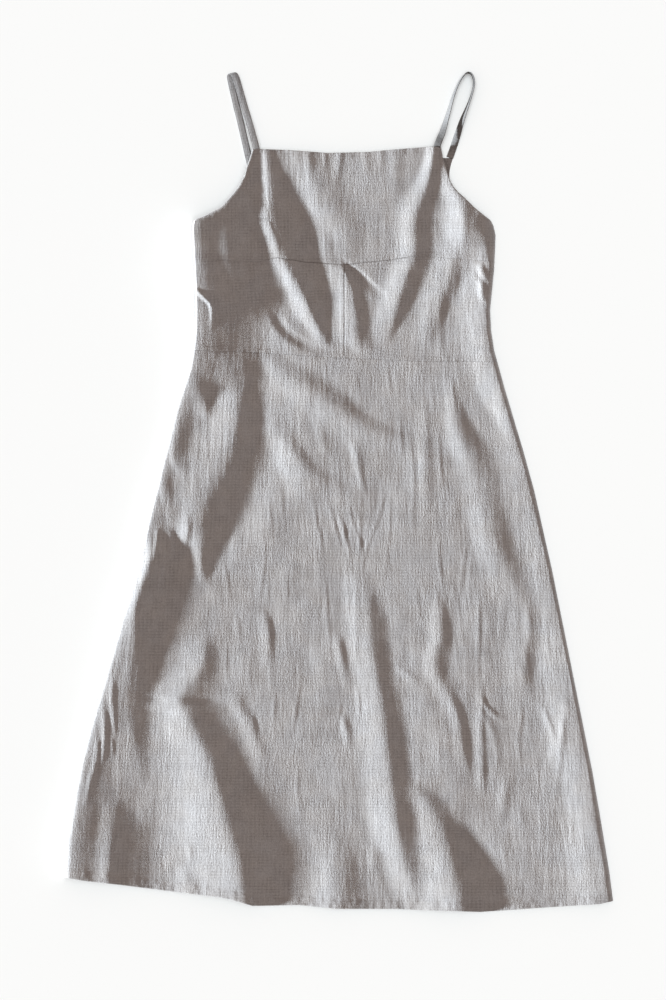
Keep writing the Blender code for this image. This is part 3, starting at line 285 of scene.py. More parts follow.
def height(x, y):
    """Height in mm of the middle of the front's cloth over chart point x, y."""
    x, y = np.asarray(x, float), np.asarray(y, float)
    dl = np.maximum(x - column(EDGE, y, 1), 0)
    dr = np.maximum(column(EDGE, y, 2) - x, 0)
    hl, wl, fl = (column(ROLL_LEFT, y, k) for k in (1, 2, 3))
    hr, wr, fr = (column(ROLL_RIGHT, y, k) for k in (1, 2, 3))
    z = column(LOFT, y, 1)
    z = z + LOW * hl * crest(np.where(dl < fl, 0, (dl - fl) / wl), 0.6)
    z = z + LOW * hr * crest(np.where(dr < fr, 0, (dr - fr) / wr), 0.2)
    for fold in FOLDS:
        z = z + fold_rise(fold, x, y)
    z = np.where(z > 1.5, z, 1.5 * np.exp(np.minimum(z - 1.5, 0) / 1.5))
    el = (1 - (1 - np.clip(dl / fl, 0, 1))**3.5)**(1 / 3.5)
    er = np.sqrt(1 - (1 - np.clip(dr / fr, 0, 1))**2)
    seam = ease((y - 213) / 12.0)       # below the armhole the front is sewn to the back
    return REST + z * ((1 - seam) + seam * el * er)


# ------------------------------------------------------------------- noise
def lattice(x, y, seed):
    """Smooth repeatable noise, -1..1, one cell per unit of x and y."""
    grid = np.random.RandomState(seed).uniform(-1, 1, (128, 128))
    i, j = np.floor(x).astype(int), np.floor(y).astype(int)
    u, v = x - i, y - j
    u, v = u * u * u * (u * (u * 6 - 15) + 10), v * v * v * (v * (v * 6 - 15) + 10)
    a, b = grid[i % 128, j % 128], grid[(i + 1) % 128, j % 128]
    c, d = grid[i % 128, (j + 1) % 128], grid[(i + 1) % 128, (j + 1) % 128]
    return (a * (1 - u) + b * u) * (1 - v) + (c * (1 - u) + d * u) * v


def streaks(x, y, wide, long, seed, wander=1.0):
    """Crinkles that run with the grain: narrow rounded ridges, mm cells."""
    bend = lattice(x / (wide * 5), y / (long * 1.2), seed + 50) * wide * wander
    n = lattice((x + bend) / wide, y / long, seed) + 0.5 * lattice((x + bend) / (wide * 0.55), y / (long * 0.7), seed + 1)
    return np.clip(1 - np.abs(n) * 1.7, -0.6, 1)


def grain(x, y):
    """Chart point to mm across and along the cloth's own grain."""
    spread_by = 1 + FAN * np.clip((y - 350) / 550, 0, 1)
    return (x - CENTRE) / spread_by * STEP / MM, y * STEP / MM


def crinkle(x, y):
    u, v = grain(x, y)
    skirt = ease((y - 350) / 60)
    amount = 0.55 + 0.45 * lattice(u / 90, v / 110, 5) + 0.25 * skirt
    fine = streaks(u, v, 5.5, 38, 11, 0.6) * 0.08 + streaks(u, v, 10, 70, 21, 0.6) * 0.15
    soft = lattice(u / 26, v / 60, 31) * 0.55 + lattice(u / 60, v / 70, 41) * 0.8
    across_ = lattice(u / 34, v / 9, 61) * 0.12
    return fine * np.clip(amount, 0.2, 1.3) + soft * (0.35 + 0.4 * skirt) + across_


def seam_distance(x, y):
    """mm to the nearest seam of the front."""
    bust = np.abs(y - column(BUST_SEAM, x, 1))
    waist = np.abs(y - column(WAIST_SEAM, x, 1))
    between = (y > column(BUST_SEAM, x, 1) - 1) & (y < column(WAIST_SEAM, x, 1) + 1)
    centre = np.where(between, np.abs(x - CENTRE), 99)
    return np.minimum(np.minimum(bust, waist), centre) * STEP / MM


def seam_depth(x, y):
    """Share of a seam's full groove: the bust seam sinks most between the ridges."""
    bust = np.abs(y - column(BUST_SEAM, x, 1)) * STEP / MM < 4
    waist = np.abs(y - column(WAIST_SEAM, x, 1)) * STEP / MM < 4
    middle = ease((x - 268) / 14) * ease((422 - x) / 14)
    return np.where(bust, 0.30 + 0.70 * middle, np.where(waist, 0.22, 0.9))


def edge_distance(x, y):
    """mm to the armhole, neckline or hem, whichever is nearest."""
    e = 0.75
    d = np.full_like(x, 99.0)
    for k, side in ((1, 1), (2, -1)):
        lean = (column(EDGE, y + e, k) - column(EDGE, y - e, k)) / (2 * e)
        off = (x - column(EDGE, y, k)) * side / np.sqrt(1 + lean * lean)
        d = np.minimum(d, np.where(y < 221, np.maximum(off, 0), 99))
    d = np.minimum(d, np.maximum(y - column(NECKLINE, x, 1), 0))
    return d * STEP / MM, np.maximum(column(HEM, x, 1) - y, 0) * STEP / MM


def fine_height(x, y):
    """Height in mm of the fine cloth's top over chart point x, y."""
    z = height(x, y) + VISIBLE
    for fold in SMALL_FOLDS:
        z = z + SMALL * fold_rise(fold, x, y)
    for run in CREASES:
        z = z + crease_rise(run, x, y)
    dl = np.maximum(x - column(EDGE, y, 1), 0)
    dr = np.maximum(column(EDGE, y, 2) - x, 0)
    near_side = np.clip(np.minimum(dl, dr) / 7, 0, 1)
    z = z + crinkle(x, y) * (0.25 + 0.75 * near_side) - 0.35
    ds = seam_distance(x, y)
    u, v = grain(x, y)
    z = z + 0.20 * (1 - ease((ds - 5) / 3.0))                      # turned allowance under a seam
    z = z + 0.16 * lattice(u / 5.5, v / 5.5, 71) * np.exp(-ds / 5)       # puckers held by the thread
    z = z - SEAM_DIP * np.exp(-(ds / SEAM_HALF)**2) * seam_depth(x, y)
    de, dh = edge_distance(x, y)
    z = z + 0.22 * (1 - ease((dh - HEM_DEEP) / 1.4))               # turned hem
    z = z + 0.30 * lattice(u / 5.0, v / 9, 81) * (1 - ease((dh - 13) / 5.0))
    z = z + 0.18 * lattice(u / 4.5, v / 12, 91) * (1 - ease((de - 6) / 5.0))
    d = np.minimum(de, dh)
    z = z - 0.45 * np.clip(1 - d / EDGE_ROUND, 0, 1)**2
    at_seam = ease((y - 213) / 12.0)
    side = np.clip(np.minimum(dl, dr) / 0.9, 0, 1)
    floor = 0.95
    z = np.where(z > floor + 0.6, z, floor + 0.6 * np.exp(np.minimum(z - floor - 0.6, 0) / 0.6))
    return z * (1 - at_seam * (1 - side)) + 1.0 * at_seam * (1 - side)


def place(x, y, z):
    """Chart point and height in mm to metres; raised cloth is drawn in."""
    inward = 1 - z / DRAWN_IN
    return np.stack([(MIDDLE_X + (x - MIDDLE_X) * inward - CHART_X) * STEP,
                     (CHART_Y - MIDDLE_Y - (y - MIDDLE_Y) * inward) * STEP, z * MM], -1)


# ------------------------------------------------------------------ meshes
def mesh_object(name, verts, faces, material, smooth=True):
    verts = np.asarray(verts, float).reshape(-1, 3)
    faces = np.asarray(faces, np.int32)
    mesh = bpy.data.meshes.new(name)
    mesh.vertices.add(len(verts))
    mesh.vertices.foreach_set("co", verts.ravel())
    k = faces.shape[1]
    mesh.loops.add(faces.size)
    mesh.loops.foreach_set("vertex_index", faces.ravel())
    mesh.polygons.add(len(faces))
    mesh.polygons.foreach_set("loop_start", np.arange(0, faces.size, k, dtype=np.int32))
    mesh.polygons.foreach_set("loop_total", np.full(len(faces), k, np.int32))
    mesh.update(calc_edges=True)
    mesh.validate()
    mesh.polygons.foreach_set("use_smooth", np.ones(len(mesh.polygons), bool))
    mesh.materials.append(material)
    thing = bpy.data.objects.new(name, mesh)
    bpy.context.scene.collection.objects.link(thing)
    return thing


def quads(rows, cols, closed=False):
    r, c = np.meshgrid(np.arange(rows - 1), np.arange(cols if closed else cols - 1), indexing="ij")
    a = r * cols + c
    b = r * cols + (c + 1) % cols
    return np.stack([a, a + cols, b + cols, b], -1).reshape(-1, 4)


def paint(thing, name, values):
    """A number for every point, for the material to read."""
    layer = thing.data.attributes.new(name, "FLOAT", "POINT")
    layer.data.foreach_set("value", np.asarray(values, np.float32).ravel())


def across(y, cols, left, right):
    return np.where(cols < 0, CENTRE + cols * (CENTRE - left), CENTRE + cols * (right - CENTRE))


neck_left = float(height(np.array([256.3]), np.array([149.0]))[0])
neck_right = float(height(np.array([437.2]), np.array([147.0]))[0])
STRAP_LEFT = (
    (256.3, 148.8, neck_left, 0), (253.6, 138.5, neck_left - 2.2, 0), (250.2, 126.5, 7.0, 0),
    (246.6, 114.0, 5.0, 0), (243.0, 102.0, 4.2, 0), (239.6, 90.0, 4.0, 0), (236.8, 80.5, 4.0, 0),
    (235.0, 75.6, 3.9, 0), (233.8, 73.9, 3.3, 0), (232.4, 73.3, 2.4, 0), (231.0, 74.0, 1.4, 0),
    (230.3, 76.2, 0.95, 0), (231.2, 82.0, 0.85, 0), (233.4, 92.0, 0.85, 0), (236.6, 106.0, 0.85, 0),
    (239.8, 119.0, 0.85, 0), (242.6, 131.0, 0.85, 0), (245.6, 144.0, 0.85, 0), (248.2, 155.5, 0.85, 0), (250.3, 165.2, 0.85, 0))
STRAP_RIGHT = (
    (437.2, 146.7, neck_right, 0), (438.4, 142.6, neck_right, 8), (440.3, 137.6, neck_right - .2, 18), (442.6, 132.0, neck_right - .4, 32), (446.2, 120.0, 5.0, 54),
    (449.8, 108.0, 5.1, 67), (453.4, 96.0, 5.3, 76), (458.2, 84.0, 5.5, 80), (462.6, 76.8, 5.6, 84),
    (466.2, 73.2, 5.7, 88), (469.4, 72.8, 5.7, 91), (472.2, 75.2, 5.7, 94), (473.8, 80.0, 5.6, 98),
    (473.8, 86.0, 5.5, 101), (471.2, 96.0, 5.3, 105), (466.8, 108.0, 5.1, 117), (462.2, 120.0, 4.4, 138),
    (458.4, 132.0, 2.9, 156), (454.6, 144.0, 1.7, 172), (452.0, 151.6, 1.15, 178), (449.8, 157.8, 0.95, 180))


# --------------------------------------------------------------- materials
def nodes_of(name):
    mat = bpy.data.materials.new(name)
    mat.use_nodes = True
    tree = mat.node_tree
    return mat, tree, tree.nodes["Principled BSDF"]


class Sheet:
    """Short hand for building a shader out of arithmetic on the cloth's grain."""

    def __init__(self, tree):
        self.tree = tree

    def put(self, socket, value):
        if isinstance(value, (int, float, tuple)):
            socket.default_value = value
        else:
            self.tree.links.new(value, socket)

    def math(self, op, a, b=0.0, c=0.0):
        n = self.tree.nodes.new("ShaderNodeMath")
        n.operation = op
        for s, v in zip(n.inputs, (a, b, c)):
            self.put(s, v)
        return n.outputs[0]

    def add(self, *terms):
        total = terms[0]
        for t in terms[1:]:
            total = self.math("ADD", total, t)
        return total

    def times(self, a, b):
        return self.math("MULTIPLY", a, b)

    def fit(self, a, lo, hi, to_lo=0.0, to_hi=1.0):
        n = self.tree.nodes.new("ShaderNodeMapRange")
        n.interpolation_type = "SMOOTHSTEP"
        for s, v in zip(n.inputs, (a, lo, hi, to_lo, to_hi)):
            self.put(s, v)
        return n.outputs[0]

    def attribute(self, name):
        n = self.tree.nodes.new("ShaderNodeAttribute")
        n.attribute_name = name
        return n

    def join(self, x, y, z=0.0):
        n = self.tree.nodes.new("ShaderNodeCombineXYZ")
        for s, v in zip(n.inputs, (x, y, z)):
            self.put(s, v)
        return n.outputs[0]

    def split(self, v):
        n = self.tree.nodes.new("ShaderNodeSeparateXYZ")
        self.put(n.inputs[0], v)
        return n.outputs[0], n.outputs[1]

    def noise(self, u, v, wide, long, layer=0.0, detail=1.0, rough=0.5, warp=0.0):
        """0..1, about 0.5; one bump per `wide` mm across and `long` mm along."""
        n = self.tree.nodes.new("ShaderNodeTexNoise")
        self.put(n.inputs["Vector"], self.join(self.times(u, 1 / wide), self.times(v, 1 / long), layer))
        n.inputs["Scale"].default_value = 1.0
        n.inputs["Detail"].default_value = detail
        n.inputs["Roughness"].default_value = rough
        n.inputs["Distortion"].default_value = warp
        return n.outputs[0]

    def ridge(self, n, sharp=2.0):
        """Turns a noise into rounded ridges with sharper valleys between."""
        return self.math("SUBTRACT", 1.0, self.math("ABSOLUTE", self.times(self.math("SUBTRACT", n, 0.5), sharp * 2)))

    def mix(self, fac, a, b, blend="MIX"):
        n = self.tree.nodes.new("ShaderNodeMix")
        n.data_type = "RGBA"
        n.blend_type = blend
        self.put(n.inputs[0], fac)
        for s, v in zip((n.inputs[6], n.inputs[7]), (a, b)):
            self.put(s, (*v, 1.0) if isinstance(v, tuple) else v)
        return n.outputs[2]


def linen(name, crinkled=1.0, tone=1.0, with_strap_shade=False):
    """Natural crinkled linen in a small tone-on-tone check."""
    mat, tree, shader = nodes_of(name)
    s = Sheet(tree)
    u, v = s.split(s.attribute("grain").outputs["Vector"])
    drift_u = s.times(s.math("SUBTRACT", s.noise(u, v, 38, 55, 1.0), 0.5), 3.0)
    drift_v = s.times(s.math("SUBTRACT", s.noise(u, v, 50, 34, 2.0), 0.5), 3.0)

    def lines(along, pitch, drift):
        wave = s.math("SINE", s.add(s.times(along, 2 * math.pi / pitch), drift))
        return s.math("POWER", s.math("MULTIPLY_ADD", wave, 0.5, 0.5), 1.6)
    warp = lines(u, CHECK_U, drift_u)
    weft = lines(v, CHECK_V, drift_v)
    patchy = s.fit(s.noise(u, v, 16, 20, 3.0, 2.0), 0.34, 0.66, 0.15, 1.0)

    # yarns: each one a little thicker or thinner, darker or lighter, along its length
    yarn_up = s.noise(u, v, 1.15, 26, 4.0, 2.0, 0.6)
    yarn_across = s.noise(u, v, 20, 1.05, 5.0, 2.0, 0.6)
    slub_up = s.fit(s.noise(u, v, 1.7, 34, 6.0, 1.0), 0.60, 0.74)
    slub_across = s.fit(s.noise(u, v, 26, 1.5, 7.0, 1.0), 0.60, 0.74)
    speck = s.noise(u, v, 1.6, 2.6, 8.0, 2.0, 0.65)
    cloud = s.noise(u, v, 60, 80, 9.0, 2.0, 0.55)
    warm = s.noise(u, v, 34, 42, 10.0, 2.0, 0.5)

    # crinkles finer than the mesh, in mm, running with the grain
    amount = s.fit(s.noise(u, v, 48, 70, 11.0, 1.0), 0.30, 0.70, 0.55, 1.25)
    lean_ = s.add(u, s.times(s.math("SUBTRACT", s.noise(u, v, 9, 26, 12.0, 1.0), 0.5), 2.0))
    wide = s.ridge(s.noise(lean_, v, 4.2, 34, 13.0, 1.5, 0.55))
    thin = s.ridge(s.noise(lean_, v, 2.0, 24, 14.0, 1.5, 0.6))
    pebble = s.noise(u, v, 2.3, 2.8, 15.0, 2.0, 0.6)
    cord_ = s.noise(u, v, 16, 3.2, 16.0, 1.0)
    crinkle_mm = s.add(s.times(wide, CRINKLE_WIDE * crinkled), s.times(thin, CRINKLE_THIN * crinkled),
                       s.times(pebble, CRINKLE_PEBBLE * crinkled), s.times(cord_, 0.05 * crinkled))
    crinkle_mm = s.times(crinkle_mm, amount)

    # the weave itself: crossing yarns, over and under
    over = s.times(s.math("SINE", s.add(s.times(u, 2 * math.pi / 1.05), drift_u)),
                   s.math("SINE", s.add(s.times(v, 2 * math.pi / 1.05), drift_v)))
    relief = s.add(s.times(over, 0.012), s.times(yarn_up, 0.07), s.times(yarn_across, 0.06),
                   s.times(slub_up, 0.05), s.times(slub_across, 0.05),
                   s.times(weft, 0.035), s.times(warp, 0.02))

    # value 0..1 between the dark and the light yarn, with painted shade in the crinkles' valleys
    value = s.add(0.5,
                  s.times(s.times(warp, patchy), -CHECK_DARK * 0.7), s.times(s.times(weft, patchy), -CHECK_DARK),
                  CHECK_DARK * 0.55,
                  s.times(s.math("SUBTRACT", yarn_up, 0.5), 0.55), s.times(s.math("SUBTRACT", yarn_across, 0.5), 0.55),
                  s.times(s.math("SUBTRACT", speck, 0.5), 1.55), s.times(s.math("SUBTRACT", cloud, 0.5), 0.35),
                  s.times(slub_up, 0.12), s.times(slub_across, 0.12),
                  # painted shade: a little darker in the crinkles' valleys
                  s.times(s.math("SUBTRACT", thin, 0.4), 0.10), s.times(s.math("SUBTRACT", wide, 0.4), 0.08))
    dark, light = tuple(k * tone for k in YARN_DARK), tuple(k * tone for k in YARN_LIGHT)
    colour = s.mix(value, dark, light)
    colour = s.mix(s.fit(warm, 0.35, 0.65), colour, s.mix(1.0, colour, (0.985, 1.0, 1.02), "MULTIPLY"))
    # painted shade where the cloth lies double: less light comes through two layers
    double_layer_shade = s.attribute("double_layer_shade").outputs["Fac"]
    colour = s.mix(s.times(double_layer_shade, 0.55), colour, s.mix(1.0, colour, (0.90, 0.885, 0.875), "MULTIPLY"))
    # painted shade along the seams' sunk grooves and under their thread
    seam_groove_shade = s.attribute("seam_groove_shade").outputs["Fac"]
    colour = s.mix(seam_groove_shade, colour, s.mix(1.0, colour, (0.68, 0.66, 0.65), "MULTIPLY"))
    if with_strap_shade:                            # the straps: painted shade, dimming each strap by the amount painted along it
        colour = s.mix(s.attribute("strap_shade_amount").outputs["Fac"], colour, s.mix(1.0, colour, (0.2, 0.198, 0.197), "MULTIPLY"))
    tree.links.new(colour, shader.inputs["Base Color"])
    tree.links.new(s.fit(speck, 0.3, 0.7, 0.80, 0.95), shader.inputs["Roughness"])
    bump = tree.nodes.new("ShaderNodeBump")
    bump.inputs["Strength"].default_value = 1.0
    bump.inputs["Distance"].default_value = MM
    tree.links.new(s.add(crinkle_mm, relief), bump.inputs["Height"])
    tree.links.new(bump.outputs[0], shader.inputs["Normal"])
    shader.inputs["Specular IOR Level"].default_value = 0.18
    shader.inputs["Sheen Weight"].default_value = 0.06
    shader.inputs["Sheen Roughness"].default_value = 0.5
    return mat


CHECK_U, CHECK_V = 5.4, 4.25               # mm, pitch of the check across and along the grain
CHECK_DARK = 0.28
CRINKLE_WIDE, CRINKLE_THIN, CRINKLE_PEBBLE = 0.16, 0.14, 0.60     # mm
YARN_DARK, YARN_LIGHT = (0.243, 0.230, 0.229), (0.440, 0.425, 0.424)
cloth = linen("linen_front")
cloth_back = linen("linen_back", 0.8, 0.98)
cloth_strap = linen("linen_strap", 0.6, 0.97, True)


# ------------------------------------------------------------------ pieces
def edge_columns(n, near):
    """-1..0: the given distances from the edge, then even ones to the centre."""
    even = np.linspace(near[-1], 1, n)[1:]
    return -1 + np.concatenate([near, even])


NEAR_EDGE = np.array([0, .0010, .0026, .0046, .0070, .0098, .013, .0165, .0205, .025, .030, .0355, .0415, .048, .055])


def levels_mm(total, start, end, step):
    """0..1 stations along a run: fine at both ends, about one step between."""
    s, e = np.array(start) / total, 1 - np.array(end)[::-1] / total
    n = int((e[0] - s[-1]) * total / step) + 1
    return np.concatenate([s, np.linspace(s[-1], e[0], n + 1)[1:-1], e])


def grain_of(thing, x, y, turn_deg=0.0, shift=(0.0, 0.0)):
    u, v = grain(x, y)
    a = math.radians(turn_deg)
    g = np.stack([u * math.cos(a) - v * math.sin(a) + shift[0], u * math.sin(a) + v * math.cos(a) + shift[1], np.zeros_like(u)], -1)
    layer = thing.data.attributes.new("grain", "FLOAT_VECTOR", "POINT")
    layer.data.foreach_set("vector", g.astype(np.float32).ravel())


def painted_seam_shade(x, y):
    """How strongly the painted shade along a seam's sunk groove and thread shows, 0..1."""
    line = lambda rows: np.abs(y - column(rows, x, 1)) * STEP / MM
    bust = np.exp(-(line(BUST_SEAM) / 0.85)**2) * (0.10 + 0.90 * ease((x - 268) / 12) * ease((420 - x) / 12))
    waist = np.exp(-(line(WAIST_SEAM) / 0.8)**2) * 0.10
    between = (y > column(BUST_SEAM, x, 1)) & (y < column(WAIST_SEAM, x, 1))
    centre = np.where(between, np.exp(-(np.abs(x - CENTRE) * STEP / MM / 0.8)**2), 0) * 0.8
    return np.maximum(np.maximum(bust, waist), centre)


def turned(x, y, z, extra, axis, last, cols, gaps):
    """Adds the cloth turned under along one border: rows (axis 0) or columns (axis 1).
    Rows are turned first, so they still have one point for each of the columns."""
    border = -1 if last else 0
    way = -1 if last else 1
    step = MM / STEP
    xb, yb, zb = (np.take(a, [border], axis=axis) for a in (x, y, z))
    strips = []
    for inward, drop in ((0.05, 0.30), (0.35, 0.62), (1.2, 0.80), (3.5, 0.95), (7.0, 1.0), (11.0, 1.05)):
        if axis == 1:
            xx, yy = xb + way * inward * step, yb
        else:
            yy = yb + way * inward * step
            xx = across(yy, cols[None, :], column(EDGE, yy, 1), column(EDGE, yy, 2))
            xx[:, 0] += gaps[2] * step
            xx[:, -1] -= gaps[3] * step
        on_top = fine_height(xx, yy)
        zz = np.minimum(on_top, zb + 0.02 + np.maximum(on_top - zb, 0)) - drop
        strips.append((xx, yy, np.maximum(zz, 0.62)))
    order = strips if last else strips[::-1]
    grown = []
    for whole, k in ((x, 0), (y, 1), (z, 2)):
        more = [s[k] for s in order]
        grown.append(np.concatenate([whole] + more if last else more + [whole], axis=axis))
    more = [np.take(extra, [border], axis=axis)] * len(strips)
    grown.append(np.concatenate([extra] + more if last else more + [extra], axis=axis))
    return grown


def front_piece(name, node, cols, rise, upper, lower, gaps, borders, turn_deg, shift):
    """One panel of the front, between two running lines and the two edges.
    gaps: mm left open at top, bottom, left, right; borders: which are turned under."""
    step = MM / STEP

    def on_line(line):
        y = np.full_like(cols, column(line, CENTRE, 1))
        for _ in range(14):
            x = across(y, cols, column(EDGE, y, 1), column(EDGE, y, 2))
            y = column(line, x, 1)
        return y
    y0, y1 = on_line(upper) + gaps[0] * step, on_line(lower) - gaps[1] * step
    y = y0[None, :] + (y1 - y0)[None, :] * rise[:, None]
    x = across(y, np.broadcast_to(cols, y.shape), column(EDGE, y, 1), column(EDGE, y, 2))
    x[:, 0] += gaps[2] * step
    x[:, -1] -= gaps[3] * step
    z = fine_height(x, y)
    de, dh = edge_distance(x, y)
    # where the cloth lies double (turned hem, seam allowances, turned edges), for the material's painted shade
    double_layer_shade = np.maximum(1 - ease((dh - HEM_DEEP) / 0.8), 0.5 * (1 - ease((seam_distance(x, y) - 6) / 2)))
    double_layer_shade = np.maximum(double_layer_shade, 0.8 * (1 - ease((de - 7) / 1.5)))
    for border, axis, last in (("top", 0, False), ("bottom", 0, True), ("left", 1, False), ("right", 1, True)):
        if border in borders:
            x, y, z, double_layer_shade = turned(x, y, z, double_layer_shade, axis, last, cols, gaps)
    thing = mesh_object(name, place(x, y, z), quads(*x.shape), cloth)
    # painted shade where the cloth lies double
    paint(thing, "double_layer_shade", double_layer_shade)
    # painted shade along the seams' grooves
    paint(thing, "seam_groove_shade", painted_seam_shade(x, y))
    grain_of(thing, x, y, turn_deg, shift)
    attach(thing, "root")
    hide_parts(node)
    return thing


full = edge_columns(185, NEAR_EDGE)
both = np.concatenate([full, -full[::-1][1:]])
bodice_half = edge_columns(165, NEAR_EDGE)
bodice_both = np.concatenate([bodice_half, -bodice_half[::-1][1:]])
SEAM_STEPS, HEM_STEPS = (0, .25, .6, 1.0, 1.5, 2.2), (0, .35, .8, 1.3, 2.0, 3.0)
GROOVE = 0.06                              # mm, each side of a seam

upper = front_piece(
    "bodice_upper_linen", "front_bodice_upper", bodice_both,
    levels_mm(163, HEM_STEPS, SEAM_STEPS, 0.95), NECKLINE, BUST_SEAM, (0, GROOVE, 0, 0), ("top", "bottom", "left", "right"), 0.5, (0.0, 0.0))
lower_left_cols = np.concatenate([bodice_half[bodice_half < -0.02], -np.array([2.4, 1.6, 1.0, .6, .25, 0])[:] / 218])
lower_left = front_piece(
    "bodice_lower_left_linen", "front_bodice_lower_left", lower_left_cols,
    levels_mm(132, SEAM_STEPS, SEAM_STEPS, 1.15), BUST_SEAM, WAIST_SEAM, (GROOVE, GROOVE, 0, GROOVE), ("top", "bottom", "left", "right"), 3.0, (1.9, 2.6))
lower_right_cols = -lower_left_cols[::-1]
lower_right = front_piece(
    "bodice_lower_right_linen", "front_bodice_lower_right", lower_right_cols,
    levels_mm(132, SEAM_STEPS, SEAM_STEPS, 1.15), BUST_SEAM, WAIST_SEAM, (GROOVE, GROOVE, GROOVE, 0), ("top", "bottom", "left", "right"), -3.0, (3.3, 0.9))
skirt = front_piece(
    "skirt_front_linen", "front_skirt", both,
    levels_mm(795, SEAM_STEPS, HEM_STEPS + (4.5, 6.5, 9.0, 11.2, 11.8, 12.4, 13.2), 3.72), WAIST_SEAM, HEM, (GROOVE, 0, 0, 0), ("top", "bottom", "left", "right"), 0.0, (2.7, 3.4))


def back_piece(name, node, upper_line, lower_line, top_gap, bottom_gap, own_edge, row_mm, total, turn_deg, shift):
    """The back lies on the surface: one thin sheet, softly creased, closed round its rim."""
    step = MM / STEP
    inset = np.array([0, .002, .006, .014, .028])
    half = -1 + np.concatenate([inset, np.linspace(.028, 1, 60)[1:]])
    cols = np.concatenate([half, -half[::-1][1:]])

    def edges(y):
        l, r = column(EDGE, y, 1) + 0.35, column(EDGE, y, 2) - 0.35
        if own_edge:
            up = y < 186
            l = np.where(up, column(BACK_EDGE, y, 1), l + 1.5 * (1 - ease((y - 214) / 6)))
            r = np.where(up, column(BACK_EDGE, y, 2), r - 1.5 * (1 - ease((y - 214) / 6)))
        return l, r

    def on_line(line):
        y = np.full_like(cols, column(line, CENTRE, 1))
        for _ in range(14):
            x = across(y, cols, *edges(y))
            y = column(line, x, 1)
        return y
    y0, y1 = on_line(upper_line) + top_gap * step, on_line(lower_line) - bottom_gap * step
    rise = levels_mm(total, (0, .3, .9, 1.8, 3.2), (0, .3, .9, 1.8, 3.2), row_mm)
    y = y0[None, :] + (y1 - y0)[None, :] * rise[:, None]
    x = across(y, np.broadcast_to(cols, y.shape), *edges(y))
    u, v = grain(x, y)
    # long soft creases like those of the front, low because the cloth lies on the surface
    wave = 0.28 * lattice(u / 42, v / 95, 203) + 0.30 * streaks(u, v, 16, 85, 211) * lattice(u / 70, v / 90, 215)
    wave = wave + 0.10 * lattice(u / 9, v / 30, 221)
    for fold in BACK_FOLDS:
        wave = wave + fold_rise(fold, x, y)
    rim = np.minimum(np.minimum(np.abs(x - edges(y)[0]), np.abs(edges(y)[1] - x)), np.minimum(y - y0[None, :], y1[None, :] - y)) * STEP / MM
    wave = np.clip(wave + 0.25, 0.0, 1.1) * ease(rim / 6)
    bottom = 0.04 + wave * 0.55
    top = bottom + 0.42 + 0.10 * (1 - ease((rim - 7) / 1.0)) - 0.30 * np.clip(1 - rim / 0.6, 0, 1)**2
    rows, n = x.shape
    verts = np.concatenate([place(x, y, top).reshape(-1, 3), place(x, y, bottom).reshape(-1, 3)])
    q = quads(rows, n)
    count = rows * n
    ring = np.concatenate([np.arange(n), np.arange(1, rows) * n + n - 1, (rows - 1) * n + np.arange(n - 2, -1, -1), np.arange(rows - 2, 0, -1) * n])
    nxt = np.roll(ring, -1)
    sides = np.stack([nxt, ring, ring + count, nxt + count], -1)
    faces = np.concatenate([q, q[:, ::-1] + count, sides[:, ::-1]])
    thing = mesh_object(name, verts, faces, cloth_back)
    two = lambda a: np.concatenate([a.ravel(), a.ravel()])
    # painted shade: the back's turned rim lies double
    paint(thing, "double_layer_shade", two(1 - ease((rim - 9) / 1.0)))
    # no painted seam shade on the back
    paint(thing, "seam_groove_shade", np.zeros(2 * count))
    grain_of(thing, two(x), two(y), turn_deg, shift)
    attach(thing, "root")
    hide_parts(node)
    return thing


BACK_FOLDS = (
    ("back crease 1", "down", .4, ((230, 285, 0, 10, 16), (260, 290, .7, 10, 18), (300, 300, .8, 10, 18), (340, 306, 0, 10, 14))),
    ("back crease 2", "down", .4, ((240, 402, 0, 14, 10), (270, 398, .6, 14, 10), (310, 392, .7, 14, 10), (345, 388, 0, 12, 10))),
    ("back crease 3", "down", .4, ((420, 262, 0, 14, 20), (470, 250, .8, 16, 24), (530, 238, .8, 16, 24), (600, 226, 0, 14, 20))),
    ("back crease 4", "down", .4, ((560, 402, 0, 22, 14), (640, 410, .7, 24, 16), (720, 420, .7, 26, 16), (800, 432, 0, 20, 14))),
    ("back crease 5", "down", .4, ((700, 232, 0, 20, 24), (770, 244, .8, 26, 30), (850, 256, .9, 30, 34), (912, 262, .9, 30, 34))),
    ("back crease 6", "down", .4, ((640, 520, 0, 18, 14), (720, 532, .7, 20, 14), (800, 540, .7, 20, 14), (880, 548, 0, 18, 14))),
)
back_bodice = back_piece("bodice_back_linen", "back_bodice", BACK_TOP, WAIST_SEAM, 0, GROOVE, True, 2.2, 268, -0.5, (1.1, 2.2))
back_skirt = back_piece("skirt_back_linen", "back_skirt", WAIST_SEAM, HEM, GROOVE, 0, False, 6.5, 795, 0.4, (0.7, 3.9))


